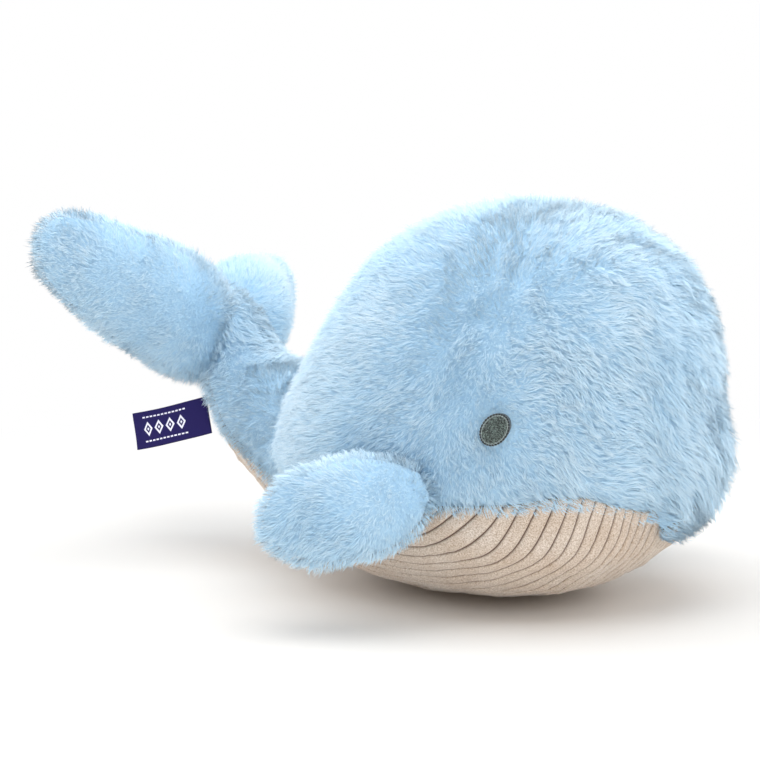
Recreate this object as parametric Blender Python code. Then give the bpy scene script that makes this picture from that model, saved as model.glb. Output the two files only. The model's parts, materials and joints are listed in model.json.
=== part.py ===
"""Plush whale: fur side panels, a corduroy belly, stuffed tail, flukes and flippers, and a sewn-in side label.

The whale faces +X and rests on the flat of its belly. Each stuffed form is one swelling surface. The
filling, the fur skins and the corduroy skins of that form are all offsets of it, so they nest. Metres, +Z up.
"""

import math

import bmesh
import bpy
from mathutils import Matrix, Vector
from mathutils.bvhtree import BVHTree

# Cloth, thread and fits
seam_gap = 0.0003
hinge_gap = 0.0008
fur_depth = 0.008
cord_depth = 0.0025
rest_depth = 0.0005
limb_skin = 0.006
fill_start = 0.0012
fill_room = 0.001

# Body: the fur surface from nose to rump, its width, and its height above the floor
body_length = 0.2333
body_width = 0.196
body_height = 0.194
front_power = 2.5
rear_power = 1.95

# Height, front reach, rear reach and half width of the body, from the bottom pole to the crown
body_shares = (
    (0.000, 0.00, 0.00, 0.00),
    (0.007, 0.165, -0.175, 0.28),
    (0.045, 0.309, -0.309, 0.56),
    (0.140, 0.437, -0.448, 0.84),
    (0.272, 0.489, -0.494, 0.96),
    (0.418, 0.506, -0.463, 1.00),
    (0.573, 0.506, -0.383, 0.97),
    (0.733, 0.489, -0.298, 0.87),
    (0.869, 0.422, -0.206, 0.68),
    (0.960, 0.293, -0.065, 0.41),
    (1.000, 0.123, 0.123, 0.00),
)

# Height of the seam between fur and corduroy above the floor, at five even bearings from nose to rump
seam_heights = ((0.0445,), (0.0615,), (0.0585,), (0.0535,), (0.0455,))

# Eyes: embroidered discs, a little below the fur
eye_height = 0.0165
eye_width = 0.0146
eye_thickness = 0.0025
eye_crown = 0.0012
eye_sink = 0.0015
eye_tilt = math.radians(12)
eye_level = 0.0935
eye_bearing = math.radians(61)

# Tail: a ball root seated in the body, and a short stock that turns up
tail_root_radius = 0.0475
tail_sink = 0.017
tail_pivot_level = 0.058
tail_root_lean = math.radians(25)
tail_neck_angle = math.radians(30)
tail_skin_angle = math.radians(-25)
tail_reach = 0.074
tail_rise = 0.092

# Reach and rise of the stock, with its half height and half width, from the neck to the tip
tail_shares = (
    (0.625, 0.235, 0.69, 0.73),
    (0.785, 0.418, 0.545, 0.62),
    (0.88, 0.58, 0.49, 0.55),
    (0.955, 0.76, 0.46, 0.49),
    (1.00, 1.00, 0.00, 0.00),
)
strip_root_angle = math.radians(62)
strip_end_angle = math.radians(26)
strip_end_share = 0.62

# Flukes: plump swept leaves on the sides of the tail's end
fluke_length = 0.080
fluke_chord = 0.073
fluke_thickness = 0.039
fluke_root_radius = 0.0045
fluke_sweep = 0.034
fluke_root_share = 0.67
fluke_lean = math.radians(3)
fluke_roll = math.radians(12)
right_fluke_fold = math.radians(32)
left_fluke_fold = math.radians(27)

# Flippers: rounded paddles on the sides, near the corduroy seam
flipper_length = 0.070
flipper_chord = 0.058
flipper_thickness = 0.034
flipper_root_radius = 0.0045
flipper_sweep = -0.014
flipper_level = 0.0675
flipper_bearing = math.radians(74)
flipper_rake = math.radians(30)
flipper_swing = math.radians(60)

# Length, sweep, half chord and half thickness of a leaf, from its sewn edge to its tip
leaf_shares = (
    (0.00, 0.00, 0.78, 0.00),
    (0.12, 0.09, 0.90, 0.62),
    (0.30, 0.26, 1.00, 0.95),
    (0.52, 0.48, 0.98, 1.00),
    (0.74, 0.70, 0.86, 0.92),
    (0.92, 0.89, 0.58, 0.62),
    (1.00, 0.97, 0.00, 0.00),
)
leaf_power = 2.2

# Side label: a folded woven tape, sewn into the tail's right seam
label_length = 0.035
label_height = 0.0195
label_tape = 0.0005
label_slit = 0.0005
label_root_share = 0.265
label_tail_angle = math.radians(-128)
label_back_turn = math.radians(38)
label_droop = math.radians(14)

# Shares that shape small features
spine_share = 0.12
spine_end_share = 0.95
crown_shares = ((0.0, 1.0), (0.75, 0.5), (1.0, 0.0))
root_turn_share = 0.85
join_distance = seam_gap / 60
slide_error = seam_gap / 100

# Counts of rows and columns
side_rows, side_columns = 11, 18
belly_rows, fill_rows, ball_fill_rows = 7, 9, 4
tail_ball_rows, tail_stock_rows, tail_columns, strip_columns = 3, 8, 8, 6
root_rows, leaf_rows, leaf_columns = 2, 7, 7
disc_segments, ball_segments, edge_samples = 24, 32, 25
fold_segments = 6
slope_step = 0.002
facet_room = 1 / math.cos(math.pi / ball_segments) ** 2
march_step = tail_root_radius / 40


def clear_scene():
    """Empties the scene and its orphan data."""
    for item in list(bpy.data.objects):
        bpy.data.objects.remove(item, do_unlink=True)
    for mesh in list(bpy.data.meshes):
        bpy.data.meshes.remove(mesh)


def material(name, colour, roughness):
    """A plain coloured cloth or thread."""
    made = bpy.data.materials.new(name)
    made.use_nodes = True
    shader = made.node_tree.nodes["Principled BSDF"]
    shader.inputs["Base Color"].default_value = (*colour, 1)
    shader.inputs["Roughness"].default_value = roughness
    shader.inputs["Metallic"].default_value = 0
    made.diffuse_color = (*colour, 1)
    return made


def between(a, b, share):
    """The value that lies this share of the way from a to b."""
    return a + (b - a) * share


def eased(share):
    """Shares that crowd towards the end, where a form closes."""
    return math.sin(share * math.pi / 2)


def curve_value(rows, u, even=(), open_start=False):
    """A smooth curve through the rows, where u runs from 0 to 1.

    Columns in even are level at a pole, and the others pass through it. An open start has no pole.
    """
    spans = len(rows) - 1
    place = min(max(u, 0), 1) * spans
    index = min(int(place), spans - 1)
    t = place - index
    found = []
    for column in range(len(rows[0])):
        values = [row[column] for row in rows]
        mirror = column in even
        before = values[1] if mirror and not open_start else 2 * values[0] - values[1]
        after = values[-2] if mirror else 2 * values[-1] - values[-2]
        padded = [before, *values, after]
        a, b, c, d = padded[index : index + 4]
        rate = (c - a) / 2
        next_rate = (d - b) / 2
        bend = 3 * (c - b) - 2 * rate - next_rate
        twist = 2 * (b - c) + rate + next_rate
        found.append(b + rate * t + bend * t**2 + twist * t**3)
    return found


def rounded(value, power):
    """One side of a superellipse: the sine or cosine with its roundness changed."""
    return math.copysign(abs(value) ** (2 / power), value)


def split(point, side, gap=seam_gap):
    """The point kept on its side of the middle plane, half a seam away."""
    return Vector((point.x, side * max(side * point.y, gap / 2), point.z))


class Form:
    """A swelling surface: u runs along it and v round it."""

    poles = (None, None)

    def point(self, u, v):
        raise NotImplementedError

    def normal(self, u, v):
        """The outward direction, from the slopes of the surface."""
        if u <= 0 and self.poles[0]:
            return self.poles[0]
        if u >= 1 and self.poles[1]:
            return self.poles[1]
        low, high = max(u - slope_step, 0), min(u + slope_step, 1)
        along = self.point(high, v) - self.point(low, v)
        across = self.point(u, v + slope_step) - self.point(u, v - slope_step)
        return across.cross(along).normalized()

    def inset(self, u, v, depth):
        return self.point(u, v) - self.normal(u, v) * depth


class Body(Form):
    """The round body: v is 0 at the nose, positive on the left and pi at the rump."""

    base = fur_depth - cord_depth + rest_depth

    def __init__(self):
        self.poles = (Vector((0, 0, -1)), Vector((0, 0, 1)))

    def row(self, u):
        height, front, rear, side = curve_value(body_shares, u, even=(0,))
        level = height * (body_height + self.base) - self.base
        return level, front * body_length, rear * body_length, side * body_width / 2

    def point(self, u, v):
        level, front, rear, side = self.row(u)
        power = front_power if math.cos(v) > 0 else rear_power
        along = (front + rear) / 2 + (front - rear) / 2 * rounded(math.cos(v), power)
        return Vector((along, side * rounded(math.sin(v), power), level))

    def share_at(self, level):
        """The u at which the surface has this height."""
        low, high = 0.0, 1.0
        while high - low > slope_step**2:
            middle = (low + high) / 2
            low, high = (middle, high) if self.row(middle)[0] < level else (low, middle)
        return low

    def seam_share(self, v):
        """The u of the seam between fur and corduroy, in this direction."""
        turned = math.acos(math.cos(v)) / math.pi
        return self.share_at(curve_value(seam_heights, turned, even=(0,))[0])


class Tail(Form):
    """The tail: v is 0 on its upper side, positive on the left and pi underneath."""

    def __init__(self, body):
        rear = body.point(body.share_at(tail_pivot_level), math.pi)
        self.pivot = Vector((rear.x + tail_sink, 0, tail_pivot_level))
        self.lean = Vector((-math.cos(tail_root_lean), 0, math.sin(tail_root_lean)))
        neck = self.ball_row(tail_neck_angle)
        stock = [
            (-reach * tail_reach, rise * tail_rise, high * tail_root_radius, wide * tail_root_radius)
            for reach, rise, high, wide in tail_shares
        ]
        self.stations = [neck, *stock]
        self.ball_share = (tail_neck_angle + math.pi / 2) / math.pi
        tip = self.direction(1)
        self.poles = (-self.lean, tip)

    def ball_row(self, angle):
        """Centre, half height and half width of the ball's ring at this angle from its middle."""
        centre = self.lean * tail_root_radius * math.sin(angle)
        radius = tail_root_radius * math.cos(angle)
        return centre.x, centre.z, radius, radius

    def row(self, u):
        if u <= self.ball_share:
            return self.ball_row(u * math.pi - math.pi / 2)
        u = (u - self.ball_share) / (1 - self.ball_share)
        return curve_value(self.stations, u, even=(0, 1), open_start=True)

    def centre(self, u):
        x, z, _, _ = self.row(u)
        return self.pivot + Vector((x, 0, z))

    def direction(self, u):
        """Where the spine runs to."""
        if u <= self.ball_share:
            return self.lean
        stock = (u - self.ball_share) / (1 - self.ball_share)
        low = self.share_of_stock(max(stock - spine_share, 0))
        high = self.share_of_stock(min(stock + spine_share, spine_end_share))
        run = (self.centre(high) - self.centre(min(low, high - slope_step))).normalized()
        return self.lean.lerp(run, min(stock / spine_share, 1)).normalized()

    def point(self, u, v):
        _, _, high, wide = self.row(u)
        along = self.direction(u)
        up = Vector((along.z, 0, -along.x))
        across = Vector((0, 1, 0))
        return self.centre(u) + up * high * math.cos(v) + across * wide * math.sin(v)

    def share_of_stock(self, share):
        return between(self.ball_share, 1, share)

    def strip_angle(self, u):
        """Half the angle that the corduroy strip takes at u."""
        share = max(u - self.ball_share, 0) / (1 - self.ball_share) / strip_end_share
        return between(strip_root_angle, strip_end_angle, min(share, 1))


class Leaf:
    """A fluke or flipper: a plump leaf that is pinched flat where it is sewn on.

    The sewn edge is round, and its middle line is the axis that the limb flaps about.
    """

    def __init__(self, place, length, chord, thickness, root_radius, sweep):
        self.place = place
        self.length, self.chord, self.thickness = length, chord, thickness
        self.root_radius, self.sweep = root_radius, sweep

    def row(self, u, skin):
        """Length, sweep, half chord and half thickness at u, inside a skin; u is under 0 at the edge."""
        if u < 0:
            angle = -u * math.pi / 2
            half = self.chord / 2 * leaf_shares[0][2] - skin
            drop = self.root_radius * (1 - math.cos(angle))
            return -self.root_radius * math.sin(angle), 0, half - drop, self.root_radius * math.cos(angle) - skin
        root = self.root_radius / (self.thickness / 2)
        rows = [(*leaf_shares[0][:3], root), *leaf_shares[1:]]
        along, sweep, wide, thick = curve_value(rows, u, even=(0,), open_start=True)
        reach = along * (self.length - skin)
        close = max(1 - max(wide, 0) / leaf_shares[0][2], 0)
        half = max(wide, 0) * self.chord / 2 - skin * (1 - close)
        depth = max(thick, 0) * self.thickness / 2 - skin * min(1, thick / leaf_shares[1][3])
        return reach, sweep * self.sweep, max(half, 0), depth

    def point(self, u, v, skin=0, side=0):
        reach, sweep, half, depth = self.row(u, skin)
        thick = max(depth, 0) * rounded(math.sin(v), leaf_power)
        if side:
            thick = side * max(side * thick, seam_gap / 2)
        return self.place @ Vector((reach, sweep + half * rounded(math.cos(v), leaf_power), thick))


class Maker:
    """Gathers the faces of one closed mesh, and joins the points that fall together."""

    def __init__(self):
        self.mesh = bmesh.new()
        self.points = {}

    def vertex(self, point):
        key = tuple(round(value / join_distance) for value in point)
        if key not in self.points:
            self.points[key] = self.mesh.verts.new(point)
        return self.points[key]

    def face(self, *corners):
        found = []
        for corner in corners:
            vertex = self.vertex(corner)
            if vertex not in found:
                found.append(vertex)
        if len(found) > 2 and self.mesh.faces.get(found) is None:
            self.mesh.faces.new(found)

    def grid(self, rows, wrap=False):
        """Faces between neighbouring rows of points."""
        for first, second in zip(rows, rows[1:]):
            count = len(first)
            for j in range(count if wrap else count - 1):
                k = (j + 1) % count
                self.face(first[j], first[k], second[k], second[j])

    def shell(self, outer, inner):
        """A skin: an outer and an inner grid with a wall along each edge."""
        self.grid(outer)
        self.grid([list(reversed(row)) for row in inner])
        edges = (
            (outer[0], inner[0]),
            (outer[-1], inner[-1]),
            ([row[0] for row in outer], [row[0] for row in inner]),
            ([row[-1] for row in outer], [row[-1] for row in inner]),
        )
        for outside, inside in edges:
            self.grid([outside, inside])

    def object(self, name, surface, joint=None):
        """The finished node, shaded smooth and carried by its joint."""
        bmesh.ops.recalc_face_normals(self.mesh, faces=self.mesh.faces)
        data = bpy.data.meshes.new(name)
        self.mesh.to_mesh(data)
        self.mesh.free()
        data.materials.append(surface)
        data.shade_smooth()
        data.set_sharp_from_angle(angle=math.radians(45))
        made = bpy.data.objects.new(name, data)
        bpy.context.scene.collection.objects.link(made)
        if joint:
            data.transform(joint.matrix_world.inverted())
            made.parent = joint
        return made


def joint_empty(name, matrix, parent=None):
    """An empty on a joint's axis, which its local Z follows."""
    made = bpy.data.objects.new(name, None)
    bpy.context.scene.collection.objects.link(made)
    made.empty_display_size = tail_root_radius / 2
    made.parent = parent
    made.matrix_world = matrix
    bpy.context.view_layer.update()
    return made


def frame_matrix(origin, x_axis, y_axis):
    """A place whose X and Y follow the two directions, the first exactly."""
    x_axis = x_axis.normalized()
    z_axis = x_axis.cross(y_axis).normalized()
    y_axis = z_axis.cross(x_axis)
    turn = Matrix((x_axis, y_axis, z_axis)).transposed().to_4x4()
    return Matrix.Translation(origin) @ turn


def cut(target, cutter):
    """Takes the cutter away from the target."""
    modifier = target.modifiers.new(cutter.name, "BOOLEAN")
    modifier.operation = "DIFFERENCE"
    modifier.solver = "EXACT"
    modifier.object = cutter


def hide(cutter):
    """Marks a cutter, which is no part of the whale."""
    cutter.hide_render = True
    cutter.display_type = "WIRE"
    return cutter


def body_fill(body, surface):
    """The stuffing of the body, inside its skins."""
    made = Maker()
    rows = []
    for i in range(fill_rows + 1):
        u = i / fill_rows
        angles = [math.tau * j / side_columns for j in range(side_columns)]
        rows.append([body.inset(u, v, fur_depth + fill_room) for v in angles])
    made.grid(rows, wrap=True)
    return made.object("body_filling", surface)


def side_panel(body, side, name, surface):
    """One fur side of the body, from the corduroy seam to the crown."""
    rows = {0: [], fur_depth: []}
    for depth, layer in rows.items():
        for i in range(side_rows + 1):
            row = []
            for j in range(side_columns + 1):
                v = side * math.pi * j / side_columns
                point = body.inset(between(body.seam_share(v), 1, i / side_rows), v, depth)
                if i == 0:
                    point.z += seam_gap / 2
                row.append(split(point, side))
            layer.append(row)
    made = Maker()
    made.shell(rows[0], rows[fur_depth])
    return made.object(name, surface)


def belly_panel(body, surface):
    """The corduroy belly, cut flat where the whale rests."""
    made = Maker()
    layers = []
    for depth in (fur_depth - cord_depth, fur_depth):
        rows = []
        for i in range(belly_rows + 1):
            row = []
            for j in range(2 * side_columns):
                v = math.pi * j / side_columns
                point = body.inset(body.seam_share(v) * i / belly_rows, v, depth)
                if i == belly_rows:
                    point.z -= seam_gap / 2
                point.z = max(point.z, 0) if depth < fur_depth else max(point.z, cord_depth - rest_depth)
                row.append(point)
            rows.append(row)
        layers.append(rows)
    outer, inner = layers
    made.grid(outer, wrap=True)
    made.grid([list(reversed(row)) for row in inner], wrap=True)
    made.grid([outer[-1], inner[-1]], wrap=True)
    return made.object("belly_panel", surface)


def eye_place(body, side):
    """The middle of an eye's face, with X out of the fur and Y up."""
    u, v = body.share_at(eye_level), side * eye_bearing
    out = body.normal(u, v)
    tilt = Matrix.Rotation(side * eye_tilt, 3, out)
    return frame_matrix(body.inset(u, v, eye_sink), out, tilt @ Vector((0, 0, 1)))


def disc_rings(place, front, back, margin):
    """Rings of an oval disc: its back, its edge and its crowned front."""
    rings = []
    stations = [(-back, 0), (-back, 1)]
    stations += [(front * rise, share) for rise, share in crown_shares]
    for depth, share in stations:
        ring = []
        for i in range(disc_segments):
            angle = math.tau * i / disc_segments
            up = (eye_height / 2 + margin) * share * math.cos(angle)
            along = (eye_width / 2 + margin) * share * math.sin(angle)
            ring.append(place @ Vector((depth, up, along)))
        rings.append(ring)
    return rings


def eye(body, side, name, surface, panel):
    """An embroidered eye, and its seat in the fur."""
    place = eye_place(body, side)
    made = Maker()
    made.grid(disc_rings(place, eye_crown, eye_thickness, 0), wrap=True)
    disc = made.object(name, surface)
    seat = Maker()
    seat.grid(disc_rings(place, fur_depth, eye_thickness + seam_gap, seam_gap), wrap=True)
    cut(panel, hide(seat.object(name + "_seat", surface)))
    return disc


def socket(tail, surface):
    """The hollow of the body that the ball of the tail turns in."""
    made = Maker()
    bmesh.ops.create_uvsphere(
        made.mesh,
        u_segments=ball_segments,
        v_segments=ball_segments // 2,
        radius=(tail_root_radius + seam_gap) * facet_room,
        matrix=Matrix.Translation(tail.pivot) @ Matrix.Rotation(math.pi / 2, 4, "X"),
    )
    return hide(made.object("tail_socket", surface))


def tail_levels(tail, start):
    """The u of each row of the tail's skin, from this angle on the ball to the tip."""
    first = (start + math.pi / 2) / math.pi
    ball = [between(first, tail.ball_share, i / tail_ball_rows) for i in range(tail_ball_rows)]
    return ball + [tail.share_of_stock(eased(i / tail_stock_rows)) for i in range(tail_stock_rows + 1)]


def tail_side(tail, side, name, surface, joint):
    """One fur side of the tail, from the body to the tip."""
    stop = tail.share_of_stock(strip_end_share)
    past = seam_gap / (tail_reach + tail_rise)
    levels = [(u, tail.strip_angle(u)) for u in tail_levels(tail, tail_skin_angle) if u < stop]
    levels += [(stop + past, tail.strip_angle(stop)), (stop + 3 * past, 0)]
    levels += [(u, 0) for u in tail_levels(tail, tail_skin_angle) if u > stop + 4 * past]
    rows = {0: [], fur_depth: []}
    for depth, layer in rows.items():
        for u, strip in levels:
            reach = math.pi - strip - (seam_gap / tail_root_radius if strip else 0)
            angles = [side * reach * j / tail_columns for j in range(tail_columns + 1)]
            layer.append([split(tail.inset(u, v, depth), side) for v in angles])
    made = Maker()
    made.shell(rows[0], rows[fur_depth])
    return made.object(name, surface, joint)


def tail_strip(tail, surface, joint):
    """The corduroy strip under the tail, which carries the belly on to the flukes."""
    stop = tail.share_of_stock(strip_end_share)
    past = seam_gap / (tail_reach + tail_rise)
    levels = [u for u in tail_levels(tail, tail_skin_angle) if u < stop - past] + [stop - past]
    rows = {fur_depth - cord_depth: [], fur_depth: []}
    for depth, layer in rows.items():
        for u in levels:
            half = tail.strip_angle(u)
            angles = [math.pi + half * (2 * j / strip_columns - 1) for j in range(strip_columns + 1)]
            layer.append([tail.inset(u, v, depth) for v in angles])
    made = Maker()
    made.shell(*rows.values())
    return made.object("tail_belly_strip", surface, joint)


def tail_fill(tail, surface, joint):
    """The stuffing of the tail, with the ball that seats in the body."""
    levels = [tail.ball_share * i / ball_fill_rows for i in range(ball_fill_rows)]
    levels += [tail.share_of_stock(eased(i / tail_stock_rows)) for i in range(tail_stock_rows + 1)]
    made = Maker()
    rows = []
    for u in levels:
        angles = [math.pi * j / tail_columns for j in range(2 * tail_columns)]
        rows.append([tail.inset(u, v, fur_depth + fill_room) for v in angles])
    made.grid(rows, wrap=True)
    return made.object("tail_filling", surface, joint)


def leaf_levels():
    """The u of each row of a leaf, from its rounded edge to its tip."""
    edge = [-root_turn_share * (1 - i / root_rows) for i in range(root_rows)]
    return edge + [eased(i / leaf_rows) for i in range(leaf_rows + 1)]


def leaf_panel(leaf, side, name, surface, joint):
    """One fur face of a limb."""
    rows = {0: [], limb_skin: []}
    for skin, layer in rows.items():
        for u in leaf_levels():
            angles = [side * math.pi * j / leaf_columns for j in range(leaf_columns + 1)]
            layer.append([leaf.point(u, v, skin, side) for v in angles])
    made = Maker()
    made.shell(rows[0], rows[limb_skin])
    return made.object(name, surface, joint)


def leaf_fill(leaf, name, surface, joint):
    """The stuffing of a limb."""
    skin = limb_skin + fill_room
    levels = [u for u in leaf_levels() if u == 1 or (u > 0 and leaf.row(u, skin)[3] > fill_start)]
    made = Maker()
    rows = []
    for u in levels:
        angles = [math.pi * j / leaf_columns for j in range(2 * leaf_columns)]
        rows.append([leaf.point(u, v, skin) for v in angles])
    made.grid(rows, wrap=True)
    half = leaf_columns
    for j in range(half):
        made.face(rows[0][j], rows[0][j + 1], rows[0][-j - 1], rows[0][-j % (2 * half)])
    return made.object(name, surface, joint)


def surface_of(*pieces):
    """A search tree of the faces of these pieces, for seating others on them."""
    bpy.context.view_layer.update()
    points, faces = [], []
    for piece in pieces:
        start = len(points)
        points += [piece.matrix_world @ vertex.co for vertex in piece.data.vertices]
        faces += [[start + index for index in face.vertices] for face in piece.data.polygons]
    return BVHTree.FromPolygons(points, faces)


def leaf_edge(chord, radius):
    """Offsets along a leaf's sewn edge, with its half thickness at each."""
    half = chord / 2 * leaf_shares[0][2]
    angles = [math.pi * i / (edge_samples - 1) for i in range(edge_samples)]
    return [(half * rounded(math.cos(a), leaf_power), radius * rounded(math.sin(a), leaf_power)) for a in angles]


def seated(place, edge, surface, gap):
    """The place slid along its X until the round edge there clears the surface by the gap."""
    out, along = place.col[0].xyz, place.col[1].xyz

    def clearance(slide):
        middle = place.translation + out * slide
        return min(surface.find_nearest(middle + along * offset)[3] - radius for offset, radius in edge) - gap

    far = tail_root_radius
    while clearance(far) > 0:
        far -= march_step
    low, high = far, far + march_step
    while high - low > slide_error:
        middle = (low + high) / 2
        low, high = (low, middle) if clearance(middle) > 0 else (middle, high)
    return Matrix.Translation(out * high) @ place


def limb(name, leaf, faces, fur, filling, parent):
    """The joint, the two fur faces and the stuffing of a fluke or flipper."""
    origin = leaf.place.translation
    axis = frame_matrix(origin, leaf.place.col[0].xyz, leaf.place.col[2].xyz)
    joint = joint_empty(name + "_joint", axis, parent)
    upper, lower = faces
    leaf_panel(leaf, 1, f"{name}_{upper}_panel", fur, joint)
    leaf_panel(leaf, -1, f"{name}_{lower}_panel", fur, joint)
    leaf_fill(leaf, f"{name}_filling", filling, joint)


def fluke_leaf(tail, surface, side, fold):
    """A fluke of the tail, seated on the side of the tail's end."""
    u = tail.share_of_stock(fluke_root_share)
    edge = Vector((-math.sin(fluke_lean), 0, math.cos(fluke_lean)))
    facing = Vector((math.cos(fluke_lean), 0, math.sin(fluke_lean)))
    out = Matrix.Rotation(side * fold, 3, edge) @ Vector((0, side, 0))
    roll = Matrix.Rotation(-fluke_roll, 3, facing)
    place = frame_matrix(tail.centre(u), roll @ out, roll @ edge)
    place = seated(place, leaf_edge(fluke_chord, fluke_root_radius), surface, hinge_gap)
    return Leaf(place, fluke_length, fluke_chord, fluke_thickness, fluke_root_radius, fluke_sweep)


def flipper_leaf(body, surface, side):
    """A flipper, seated on the side of the body near the corduroy seam."""
    u, v = body.share_at(flipper_level), side * flipper_bearing
    edge = Vector((-math.sin(flipper_rake), 0, math.cos(flipper_rake)))
    out = Vector((0, side, 0))
    swing = Matrix.Rotation(side * flipper_swing, 3, edge)
    place = frame_matrix(body.point(u, v), swing @ out, -edge)
    place = seated(place, leaf_edge(flipper_chord, flipper_root_radius), surface, hinge_gap)
    return Leaf(place, flipper_length, flipper_chord, flipper_thickness, flipper_root_radius, flipper_sweep)


def label_place(tail, surface):
    """The label's sewn edge, with X out along the label and Y up its height."""
    u, v = tail.share_of_stock(label_root_share), label_tail_angle
    out = Vector((-math.sin(label_back_turn) - math.cos(label_back_turn), -math.sin(label_back_turn), 0))
    out.z = -math.tan(label_droop) * out.length
    up = tail.direction(u)
    place = frame_matrix(tail.point(u, v), out, up)
    offsets = [label_height / 2 * (2 * i / (edge_samples - 1) - 1) for i in range(edge_samples)]
    return seated(place, [(offset, label_tape + label_slit / 2) for offset in offsets], surface, seam_gap)


def label_loop(place, surface, joint):
    """The folded tape: two leaves, a round fold at the free end and a round sewn edge."""
    outer, inner = label_tape + label_slit / 2, label_slit / 2
    reach = label_length - outer
    half = math.pi / 2
    turns = [half * (2 * i / fold_segments - 1) for i in range(fold_segments + 1)]
    outline = [Vector((reach + outer * math.cos(a), outer * math.sin(a))) for a in turns]
    outline += [Vector((-outer * math.cos(a), -outer * math.sin(a))) for a in turns]
    slit = [Vector((reach + inner * math.cos(a), inner * math.sin(a))) for a in turns]
    slit += [Vector((outer - inner * math.cos(a), -inner * math.sin(a))) for a in turns]
    made = Maker()
    for ring, flip in ((outline, False), (slit, True)):
        low = [place @ Vector((p.x, -label_height / 2, p.y)) for p in ring]
        high = [place @ Vector((p.x, label_height / 2, p.y)) for p in ring]
        made.grid([high, low] if flip else [low, high], wrap=True)
    for level in (-1, 1):
        rings = [[place @ Vector((p.x, level * label_height / 2, p.y)) for p in ring] for ring in (outline, slit)]
        made.grid(rings, wrap=True)
    return made.object("side_label", surface, joint)


def build():
    """Builds the whale."""
    clear_scene()
    fur = material("pale_blue_fur", (0.42, 0.62, 0.76), 0.95)
    cord = material("cream_corduroy", (0.62, 0.52, 0.41), 0.9)
    filling = material("white_fibre_filling", (0.85, 0.85, 0.83), 1.0)
    thread = material("grey_eye_thread", (0.09, 0.11, 0.12), 0.6)
    tape = material("navy_woven_tape", (0.012, 0.010, 0.05), 0.7)

    body = Body()
    stuffing = body_fill(body, filling)
    right = side_panel(body, -1, "right_side_panel", fur)
    left = side_panel(body, 1, "left_side_panel", fur)
    belly = belly_panel(body, cord)
    eye(body, -1, "right_eye", thread, right)
    eye(body, 1, "left_eye", thread, left)

    tail = Tail(body)
    hollow = socket(tail, filling)
    for piece in (stuffing, right, left, belly):
        cut(piece, hollow)
    hinge = frame_matrix(tail.pivot, Vector((1, 0, 0)), Vector((0, 0, -1)))
    tail_joint = joint_empty("tail_joint", hinge)
    tail_skins = [
        tail_side(tail, -1, "tail_right_panel", fur, tail_joint),
        tail_side(tail, 1, "tail_left_panel", fur, tail_joint),
        tail_strip(tail, cord, tail_joint),
    ]
    tail_fill(tail, filling, tail_joint)

    tail_surface = surface_of(*tail_skins)
    body_surface = surface_of(right, left, belly)
    for side, word, fold in ((-1, "right", right_fluke_fold), (1, "left", left_fluke_fold)):
        leaf = fluke_leaf(tail, tail_surface, side, fold)
        faces = ("front", "back") if side > 0 else ("back", "front")
        limb(f"{word}_fluke", leaf, faces, fur, filling, tail_joint)
        leaf = flipper_leaf(body, body_surface, side)
        faces = ("inner", "outer") if side > 0 else ("outer", "inner")
        limb(f"{word}_flipper", leaf, faces, fur, filling, None)

    place = label_place(tail, tail_surface)
    axis = frame_matrix(place.translation, place.col[0].xyz, place.col[2].xyz)
    label_joint = joint_empty("side_label_joint", axis, tail_joint)
    label_loop(place, tape, label_joint)


build()
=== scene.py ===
"""A plush whale on its belly: stuffed skins, blue pile, corduroy underneath, stitched eyes and a side label."""

import json
import logging
import math
from collections.abc import Callable, Sequence
from dataclasses import dataclass, field, replace
from enum import Enum

import bpy
import numpy as np
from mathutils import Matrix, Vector
from mathutils.bvhtree import BVHTree
from mathutils.kdtree import KDTree

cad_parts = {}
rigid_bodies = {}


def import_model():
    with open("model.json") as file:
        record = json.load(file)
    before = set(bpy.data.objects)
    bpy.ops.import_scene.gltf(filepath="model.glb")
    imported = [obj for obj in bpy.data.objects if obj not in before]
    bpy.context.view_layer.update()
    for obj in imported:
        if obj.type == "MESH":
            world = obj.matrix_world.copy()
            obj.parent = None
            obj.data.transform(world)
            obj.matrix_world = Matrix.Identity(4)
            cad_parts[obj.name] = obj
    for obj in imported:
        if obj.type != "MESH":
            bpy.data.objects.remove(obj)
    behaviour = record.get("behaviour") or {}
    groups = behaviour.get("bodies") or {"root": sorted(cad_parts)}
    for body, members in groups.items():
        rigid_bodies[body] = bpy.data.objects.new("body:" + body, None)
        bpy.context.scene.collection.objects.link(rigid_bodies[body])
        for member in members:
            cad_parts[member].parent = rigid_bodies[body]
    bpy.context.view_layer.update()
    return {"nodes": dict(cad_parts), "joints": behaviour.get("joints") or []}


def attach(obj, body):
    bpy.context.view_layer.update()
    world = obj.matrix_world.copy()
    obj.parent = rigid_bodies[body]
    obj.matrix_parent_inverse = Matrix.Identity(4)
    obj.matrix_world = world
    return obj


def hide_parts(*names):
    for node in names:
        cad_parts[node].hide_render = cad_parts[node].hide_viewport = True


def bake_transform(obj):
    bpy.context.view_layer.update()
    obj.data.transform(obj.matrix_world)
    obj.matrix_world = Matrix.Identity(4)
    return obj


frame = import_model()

Array = np.ndarray
Piece = bpy.types.Object
Triple = tuple[float, float, float]
log = logging.getLogger("whale")

MM = 0.001
TURN = 2 * math.pi
UV_NAME = "OFBake"
FUR_NODES = ("right_side_panel", "left_side_panel", "tail_right_panel", "tail_left_panel")
CORD_NODES = ("belly_panel", "tail_belly_strip")
SIDES = ("right", "left")
LAP_BESIDE = 6 * MM
LAP_AHEAD = 9 * MM


class Body(Enum):
    """The CAD bodies that the pieces ride on."""

    MAIN = "main_body"
    TAIL = "tail"
    RIGHT_FLUKE = "right_fluke"
    LEFT_FLUKE = "left_fluke"
    RIGHT_FLIPPER = "right_flipper"
    LEFT_FLIPPER = "left_flipper"
    LABEL = "label"


# ---------------------------------------------------------------- numbers


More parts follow.
